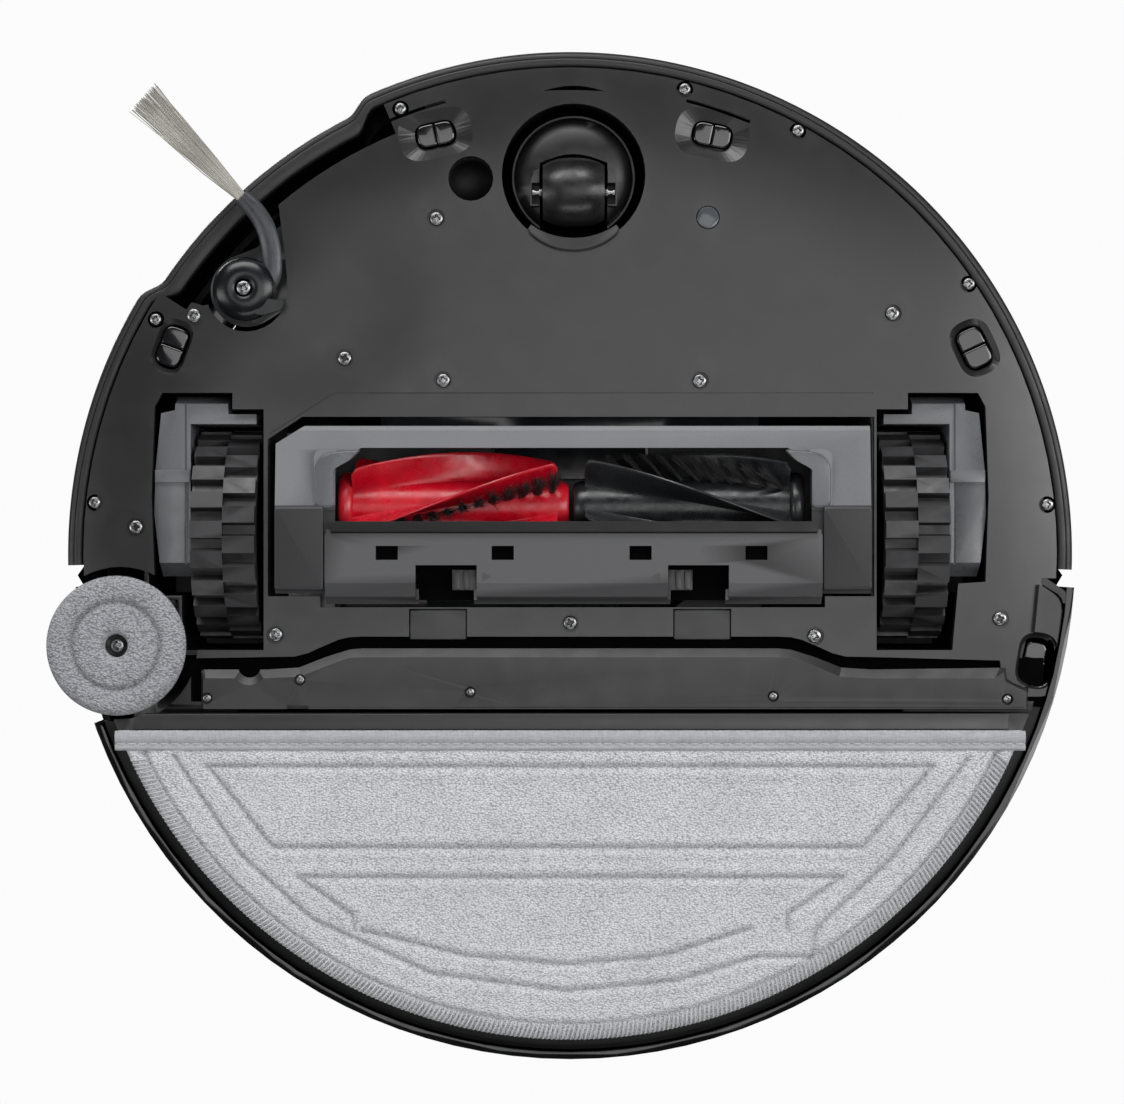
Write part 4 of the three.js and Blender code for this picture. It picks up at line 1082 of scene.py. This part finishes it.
def side_brush():
    hub = (HUB.x, HUB.y, 0)
    low = low_high("side_brush_hub")[0].z
    dome = lathe([(2.9, low + 1.4), (3.2, low + 0.5), (4.2, low + 0.05), (6, low + 0.1), (8.2, low + 0.7),
        (9.8, low + 1.7),
                  (10.7, low + 3), (11, low + 4.4), (10.8, 9.4), (2.9, 9.4)], hub, sides=72)
    sleeve = [(3.4, 1.6, 6.9), (6.2, 0.2, 6.7), (8.8, -4, 6.4), (9.4, -9, 6.15), (8.9, -15, 5.9), (7.2, -21, 5.7),
              (4.4, -25.8, 5.5), (1.6, -29.0, 5.35), (-0.9, -31.4, 5.25)]
    path = smooth_path([(hub[0] + x, hub[1] + y, z) for x, y, z in sleeve], 6)
    radii = []
    for i in range(len(path)):
        t = i / (len(path) - 1)
        radii.append(3.7 - 0.5 * t - 0.35 * smoothstep((t - 0.75) / 0.25))
    made = merged("side_brush_hub_cap", [dome], "brush_plastic", "side_brush", "brush_plastic", 40)
    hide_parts("side_brush_hub")
    merged("side_brush_sleeve", [tube(path, radii, sides=20, flat=0.5)], "sleeve", "side_brush", "black_rubber", 60)
    wing = rounded([(hub[0] + 3, hub[1] + 3.5), (hub[0] + 14.2, hub[1] + 4.2), (hub[0] + 12.8, hub[1] + 7.6),
                    (hub[0] + 6, hub[1] + 9.4), (hub[0] + 1, hub[1] + 8)], 1.6)
    merged("side_brush_stub", [slab(wing, low + 1.2, low + 3.4)], "brush_plastic", "side_brush", "brush_plastic", 40)
    rng = random.Random(5)
    hairs = []
    for i in range(170):
        t = rng.random()
        side = (t - 0.5) * 2
        jitter = rng.gauss(0, 0.12)
        start = Vector((hub[0] + 0.6, hub[1] - 29.8, 5.35)) + Vector((0.75, -0.66, 0)) * side * 1.4
        start.z += rng.uniform(-0.7, 0.7)
        aim = Vector((hub[0] - 33.6, hub[1] - 64.6, 0.75)) + Vector((0.66, -0.75, 0)) * (side + jitter) * 5.6
        aim += Vector((-0.7, -0.7, 0)) * rng.uniform(-1.4, 0.9)
        aim.z += rng.uniform(-0.15, 0.25)
        bend = Vector((0.7, -0.7, 0)) * rng.gauss(0, 0.35)
        points = [start, start.lerp(aim, 0.35) + bend, start.lerp(aim, 0.7) + bend * 0.8, aim]
        hairs.append(tube(points, [0.17, 0.15, 0.13, 0.1], sides=4))
    made = merged("side_brush_filaments", hairs, "nylon", "side_brush", "nylon", 0)
    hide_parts("side_brush_bristles")
    made = merged("side_brush_centre_screw", [screw_head(HUB.x, HUB.y, low + 0.35, 2.6)], "screw", "side_brush",
                  "screw_steel", 40)
    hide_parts("side_brush_screw")


# ---------------------------------------------------------------- mops

def distance(p, path):
    """Distance from p to a polyline."""
    best = 1e9
    for a, b in zip(path, path[1:]):
        dx, dy = b[0] - a[0], b[1] - a[1]
        t = min(max(((p[0] - a[0]) * dx + (p[1] - a[1]) * dy) / (dx * dx + dy * dy), 0), 1)
        best = min(best, math.hypot(p[0] - a[0] - dx * t, p[1] - a[1] - dy * t))
    return best


CLOTH_R, CLOTH_Y = 166.2, low_high("mop_cloth")[0].y
STITCH_LINE = 4.5
CLOTH_LOW, CLOTH_HIGH = low_high("mop_cloth")[0].z, low_high("mop_cloth")[1].z
QUILT = [
    [(-124, 72.7), (124, 72.7)],
    [(-124, 72.7), (-102, 100.2)], [(124, 72.7), (100, 100.2)],
    [(-102, 100.4), (100, 100.4)],
    [(-93, 110.6), (93, 110.6)],
    [(-93, 110.6), (-74.5, 123.6), (-73.8, 128.6)], [(93, 110.6), (74.2, 123.6), (74.2, 128.6)],
    [(-71.4, 128.8), (-36, 137.4), (-1.4, 140.4), (32, 137.4), (61.4, 128.1)],
    [(-135.5, 69.3), (-113, 102.9), (-88.4, 125), (-47.1, 143.6), (-1.4, 149.5), (36, 146), (63.8, 137.8),
     (82.8, 137.8), (84.2, 128.4), (110.3, 103.9), (135.8, 70.3)],
]


def cloth_point(u, v):
    """A point of the mop cloth's outline fan: v 0 on the straight edge, 1 on the arc."""
    first = math.asin(CLOTH_Y / CLOTH_R)
    a = math.pi - first - (math.pi - 2 * first) * u
    half = CLOTH_R * math.cos(first)
    straight = (-half + 2 * half * u, CLOTH_Y)
    x, y = polar(CLOTH_R, a)
    return straight[0] + (x - straight[0]) * v, straight[1] + (y - straight[1]) * v


def swell(columns, rows, point, pinned, pressure, cap, wrap=False):
    """Runs a cloth simulation on a coarse grid sheet that is held where it is sewn. Returns a function of
    (u, v) that gives how far the sheet swells, from 0 to cap millimetres."""
    verts, faces, held = [], [], []
    for i in range(columns):
        for j in range(rows):
            u, v = (i / columns if wrap else i / (columns - 1)), j / (rows - 1)
            x, y = point(u, v)
            verts.append(Vector((x, y, 0)) * MM)
            if pinned(x, y) or j in (0, rows - 1) or (not wrap and i in (0, columns - 1)):
                held.append(len(verts) - 1)
    for i in range(columns if wrap else columns - 1):
        for j in range(rows - 1):
            a, b = i * rows + j, (i + 1) % columns * rows + j
            faces.append((a, a + 1, b + 1, b))
    mesh = bpy.data.meshes.new("sheet")
    mesh.from_pydata(verts, [], faces)
    sheet = bpy.data.objects.new("sheet", mesh)
    bpy.context.scene.collection.objects.link(sheet)
    sheet.vertex_groups.new(name="sewn").add(held, 1, "REPLACE")
    cloth = sheet.modifiers.new("cloth", "CLOTH")
    settings = cloth.settings
    settings.quality = 6
    settings.mass = 0.2
    settings.tension_stiffness = settings.compression_stiffness = 6
    settings.bending_stiffness = 0.3
    settings.vertex_group_mass = "sewn"
    settings.use_pressure = True
    settings.uniform_pressure_force = pressure
    settings.effector_weights.gravity = 0
    cloth.collision_settings.use_collision = False
    scene = bpy.context.scene
    for step in range(1, 21):
        scene.frame_set(step)
    graph = bpy.context.evaluated_depsgraph_get()
    moved = [abs(v.co.z) / MM for v in sheet.evaluated_get(graph).data.vertices]
    scene.frame_set(1)
    bpy.data.objects.remove(sheet)
    most = sorted(moved)[int(len(moved) * 0.985)] or 1
    heights = [min(h / most, 1) * cap for h in moved]

    def swollen(u, v):
        i, j = u * (columns if wrap else columns - 1), v * (rows - 1)
        i0, j0 = int(i), min(int(j), rows - 2)
        i1 = (i0 + 1) % columns if wrap else min(i0 + 1, columns - 1)
        i0 = i0 % columns if wrap else min(i0, columns - 1)
        s, t = i - int(i), j - j0
        low_side = heights[i0 * rows + j0] * (1 - s) + heights[i1 * rows + j0] * s
        high_side = heights[i0 * rows + j0 + 1] * (1 - s) + heights[i1 * rows + j0 + 1] * s
        return low_side * (1 - t) + high_side * t
    return swollen


def nap(x, y, scale, amount):
    """Uneven pile: small tufts with a slower drift."""
    p = Vector((x, y, 0.0))
    return amount * (0.65 * noise.noise(p / scale) + 0.35 * noise.noise(p / (scale * 3.1) + Vector((7, 3, 1))))


def mop_cloth():
    sewn = QUILT
    tape = CLOTH_Y + 6.8

    def near_seam(x, y, reach=2.2):
        return (y < tape + 1.5 or math.hypot(x, y) > CLOTH_R - 5.5
                or min(distance((x, y), line) for line in sewn) < reach)

    puff = swell(110, 34, cloth_point, near_seam, 3, 0.75)
    columns, rows = 400, 136
    verts, faces, seam_shade = [], [], []
    for i in range(columns):
        for j in range(rows):
            u, v = i / (columns - 1), j / (rows - 1)
            x, y = cloth_point(u, v)
            seam = min(distance((x, y), line) for line in sewn)
            edge = CLOTH_R - math.hypot(x, y)
            pressed = math.exp(-(seam / 0.85) ** 2)
            by_edge = math.exp(-((edge - 5.4) / 1.0) ** 2)
            z = CLOTH_LOW + 1.25 - puff(u, v)
            z += 1.05 * pressed - 0.3 * math.exp(-((seam - 2.9) / 1.6) ** 2)
            z += 1.0 * by_edge
            z += 1.6 * (1 - math.sqrt(max(0, 1 - max(0, 1 - edge / 1.6) ** 2)))
            z += nap(x, y, 1.3, 0.24) * smoothstep(edge / 3)
            verts.append((x, y, max(z, CLOTH_LOW + 0.02)))
            # Painted shade along the quilting seams and the stitching by the cloth's edge.
            seam_shade.append(max(pressed, 0.8 * by_edge))
    top = len(verts)
    verts += [(x, y, CLOTH_HIGH - 0.05) for x, y, z in verts]
    for i in range(columns - 1):
        for j in range(rows - 1):
            a, b = i * rows + j, (i + 1) * rows + j
            faces += [(a, a + 1, b + 1, b), (top + a, top + b, top + b + 1, top + a + 1)]
    for i in range(columns - 1):
        for j, flip in ((0, False), (rows - 1, True)):
            a, b = i * rows + j, (i + 1) * rows + j
            face = (a, b, top + b, top + a)
            faces.append(face[::-1] if flip else face)
    made = terry_piece("mop_cloth_terry", verts, faces, seam_shade + [0] * top, "cloth", "mop_carrier")
    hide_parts("mop_cloth")
    cloth_trim(tape)


def terry_piece(name, verts, faces, seam_shade, look, body):
    """A fabric piece whose "sewn" attribute is 1 where the pile is pressed flat and painted shade darkens it."""
    mesh = bpy.data.meshes.new(name)
    mesh.from_pydata([Vector(v) * MM for v in verts], [], faces)
    mesh.attributes.new("sewn", "FLOAT", "POINT").data.foreach_set("value", seam_shade)
    piece = bpy.data.objects.new(name, mesh)
    bpy.context.scene.collection.objects.link(piece)
    tidy_normals(mesh)
    settle(piece, look, body, 0)
    mesh.shade_smooth()
    return piece


def cloth_trim(tape):
    """The smooth tape along the straight edge, its stitches, and the overlocked curved edge."""
    half = 155.6
    rings = []
    for i in range(260):
        x = -half + 2 * half * i / 259
        wave = 0.16 * noise.noise(Vector((x / 14, 3, 0))) + 0.08 * noise.noise(Vector((x / 3.5, 8, 0)))
        y0, y1 = CLOTH_Y + 0.05 + 0.1 * wave, tape + wave
        sewn = y0 + STITCH_LINE
        profile = [(y0 + 0.15, 0.95), (y0 + 0.9, 0.42), (y0 + 2.2, 0.2), (sewn - 0.9, 0.42), (sewn, 1.05),
            (sewn + 0.6, 0.62),
                   (y1 - 0.9, 0.6), (y1 - 0.25, 0.8), (y1, 1.2), (y1 - 0.2, 2.4), (y0 + 0.1, 2.9), (y0, 1.6)]
        rings.append([(x, y, CLOTH_LOW + z) for y, z in profile])
    made = merged("mop_cloth_tape", [loft(rings)], "binding", "mop_carrier", "mop_fabric", 50)
    stitches = []
    count = 84
    for i in range(count):
        x = -half + 2 + (2 * half - 4) * i / (count - 1)
        y = CLOTH_Y + 0.05 + STITCH_LINE
        points = [(x - 1.35, y, CLOTH_LOW + 1.2), (x - 0.9, y, CLOTH_LOW + 0.72), (x + 0.9, y, CLOTH_LOW + 0.72),
                  (x + 1.35, y, CLOTH_LOW + 1.2)]
        stitches.append(tube(points, 0.28, sides=6))
    first = math.asin(CLOTH_Y / CLOTH_R)
    sweep = math.pi - 2 * first
    count = 250
    for i in range(count):
        a = first + sweep * (i + 0.5) / count
        lean = 0.55 * sweep / count
        if polar(CLOTH_R - 5, a)[1] < tape + 0.8:
            continue
        points = []
        for edge, z, side in ((5.0, 1.5, -1), (4.4, 0.75, -0.9), (3, 0.45, -0.4), (1.5, 0.6, 0.2), (0.5, 1.15, 0.6),
                              (0.25, 2.0, 0.9)):
            points.append((*polar(CLOTH_R - edge, a + lean * side), CLOTH_LOW + z))
        stitches.append(tube(points, 0.36, sides=5))
    made = merged("mop_cloth_stitches", stitches, "thread", "mop_carrier", "mop_fabric", 60)


def edge_mop():
    hole, ring_at, outer = 4.0, 15.0, 24.0

    def point(u, v):
        x, y = polar(hole + (outer - hole) * v, TURN * u)
        return x, y

    def sewn(x, y):
        return abs(math.hypot(x, y) - ring_at) < 0.9

    puff = swell(60, 22, point, sewn, 3, 0.8, wrap=True)
    low, high = low_high("edge_mop_pad")[0].z, low_high("edge_mop_pad")[1].z
    sides, rows = 240, 56
    rings, seam_shade = [], []
    for j in range(rows):
        v = j / (rows - 1)
        r = hole + (outer - hole) * v
        ring = []
        for i in range(sides):
            u = i / sides
            x, y = polar(r, TURN * u)
            pressed = math.exp(-((r - ring_at) / 0.9) ** 2)
            z = low + 1.5 - puff(u, v) + 1.1 * pressed
            z += 2.6 * (1 - math.sqrt(max(0, 1 - max(0, (r - outer + 3.4) / 3.4) ** 2)))
            z += 1.8 * (1 - math.sqrt(max(0, 1 - max(0, (hole + 2.4 - r) / 2.4) ** 2)))
            z += nap(x + 40, y, 1.2, 0.42)
            ring.append((DISC.x + x, DISC.y + y, max(z, low + 0.02)))
            # Painted shade along the sewn ring.
            seam_shade.append(0.9 * pressed)
        rings.append(ring)
    last = [((outer - 0.05), high - 3.0), (outer - 0.5, high - 1.6), (outer - 1.6, high - 0.5), (outer - 3,
        high - 0.05),
            (hole + 0.6, high - 0.05), (hole, high - 1)]
    for r, z in last:
        rings.append([(DISC.x + u, DISC.y + v, z) for u, v in (polar(r, TURN * i / sides) for i in range(sides))])
        seam_shade += [0] * sides
    verts, faces = loft(rings, closed=True)
    made = terry_piece("edge_mop_terry", verts, faces, seam_shade, "pad", "edge_mop")
    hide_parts("edge_mop_pad")
    made = merged("edge_mop_centre_screw", [screw_head(DISC.x, DISC.y, 5.3, 2.6)], "screw", "edge_mop",
        "screw_steel", 40)
    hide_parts("edge_mop_screw")


# ---------------------------------------------------------------- brush cover

def cover_marks():
    """Two small moulded arrowheads by the latches."""
    parts = []
    for x, side in ((-28.6, 1), (29.3, -1)):
        outline = [(x - 1.4 * side, 6.2), (x + 1.5 * side, 7.7), (x - 1.4 * side, 9.2)]
        low = low_high("brush_cover")[0].z
        parts.append(slab(outline[::side], low - 0.12, low + 0.4))
    merged("cover_arrow_marks", parts, "dark", "brush_cover", "cover_plastic", 30)


BOSS = [(-87.8, -30.2), (-85.8, -33.6), (-82.3, -35.3), (-71.7, -36.0), (-74.8, -32.8), (-79.9, -30.0),
    (-81.1, -29.2),
        (-81.1, -15.4), (-86.6, -15.4), (-87.8, -16.8)]


def cover_bosses():
    """The rounded ears beside the rollers' ends, and black plugs of painted shade at the backs of the cover's
    openings.
    """
    parts = []
    for side, shift in ((1, 0), (-1, 1.8)):
        outline = rounded([(x * side + shift, y) for x, y in BOSS][::side], 1.6, 4)
        centre = sum((Vector(p) for p in outline), Vector((0, 0))) / len(outline)
        rings = []
        for inset, z in ((2.0, 3.75), (1.2, 3.85), (0.55, 4.25), (0.15, 4.9), (0, 5.8), (0, 8.2)):
            ring = []
            for p in outline:
                to_middle = centre - Vector(p)
                ring.append((*(Vector(p) + to_middle * inset / 16), z))
            rings.append(ring)
        parts.append(loft(rings))
    panels = []
    for x0, x1 in ((-101.3, -84.6), (86.9, 103.3)):
        outline = rounded([(x0, -16.6), (x1, -16.6), (x1, 12.4), (x0, 12.4)], 0.8, 4)
        middle = (x0 + x1) / 2
        panels.append(loft([[(middle + (x - middle) * a, -2 + (y + 2) * b, z) for x, y in outline]
                            for a, b, z in ((0.95, 0.9, 2.3), (0.985, 0.95, 2.42), (1, 0.985, 2.9), (1, 1,
                            3.9), (1, 1, 6))]))
    merged("cover_side_panels", panels, "cover", "brush_cover", "cover_plastic", 50)
    merged("cover_bosses", parts, "boss", "brush_cover", "cover_plastic", 60)
    # Black plugs of painted shade set into the cover's openings.
    shade_plugs = [slab([(x - 3.75, -2.75), (x + 3.75, -2.75), (x + 3.75, 1.95), (x - 3.75, 1.95)], 4.3, 5)
             for x in (-62.8, -23.1, 24.1, 63.8)]
    shade_plugs += [slab([(x0, 3.9), (x0 + 20.8, 3.9), (x0 + 20.8, 15.9), (x0, 15.9)], 8.75, 9.3) for x0 in (-52.9, 33.6)]
    merged("cover_opening_shade", shade_plugs, "shade_fill", "brush_cover", "cover_plastic", 30)


# ---------------------------------------------------------------- everything

FLAT_FACED = {"left_tyre", "right_tyre", "brush_cover"}
FINISHES = {
    "left_wheel_well": ("dark", 0.3), "right_wheel_well": ("dark", 0.3), "caster_well": ("dark", 0.3),
    "brush_bay": ("dark", 0.3), "top_shell": ("shell", 0.5), "top_lid": ("shell", 0.6),
    "turret_housing": ("shell", 0.8), "lidar_rotor": ("window", 0.3), "dust_bin": ("tank", 0.5),
    "water_tank": ("tank", 0.5), "battery_pack": ("wrap", 0.6), "main_board": ("board", 0.1),
    "fan_blower": ("dark", 0.5), "brush_motor": ("motor", 0.4), "brush_cover": ("cover", 0.35),
    "cover_lip": ("inner", 0.2), "left_cover_latch": ("dark", 0.2), "right_cover_latch": ("dark", 0.2),
    "mop_plate": ("dark", 0.25), "mop_drive_motor": ("motor", 0.4),
    "left_tyre": ("tyre", 0.45), "right_tyre": ("tyre", 0.45), "left_wheel_hub": ("dark", 0.3),
    "right_wheel_hub": ("dark", 0.3), "left_wheel_gearbox": ("gearbox", 0.6), "right_wheel_gearbox": ("gearbox", 0.6),
    "side_brush_arm": ("chassis", 0.3), "side_brush_motor": ("motor", 0.4), "edge_mop_motor": ("motor", 0.4),
    "edge_mop_hub": ("dark", 0.3), "floor_sensor_lens": ("lens", 0.2), "charging_contact_left": ("brass", 0.3),
    "charging_contact_right": ("brass", 0.3), "power_button": ("shell", 0.3), "home_button": ("shell", 0.3),
}

camera()
studio()
floor()
chassis()
mop_drive_cover()
fixed_screws()
cliff_windows()
bumper()
rollers()
caster()
side_brush()
mop_cloth()
edge_mop()
cover_marks()
cover_bosses()
for node_name, (look_name, edge_width) in FINISHES.items():
    finish_node(node_name, look_name, edge_width)

bpy.context.view_layer.update()
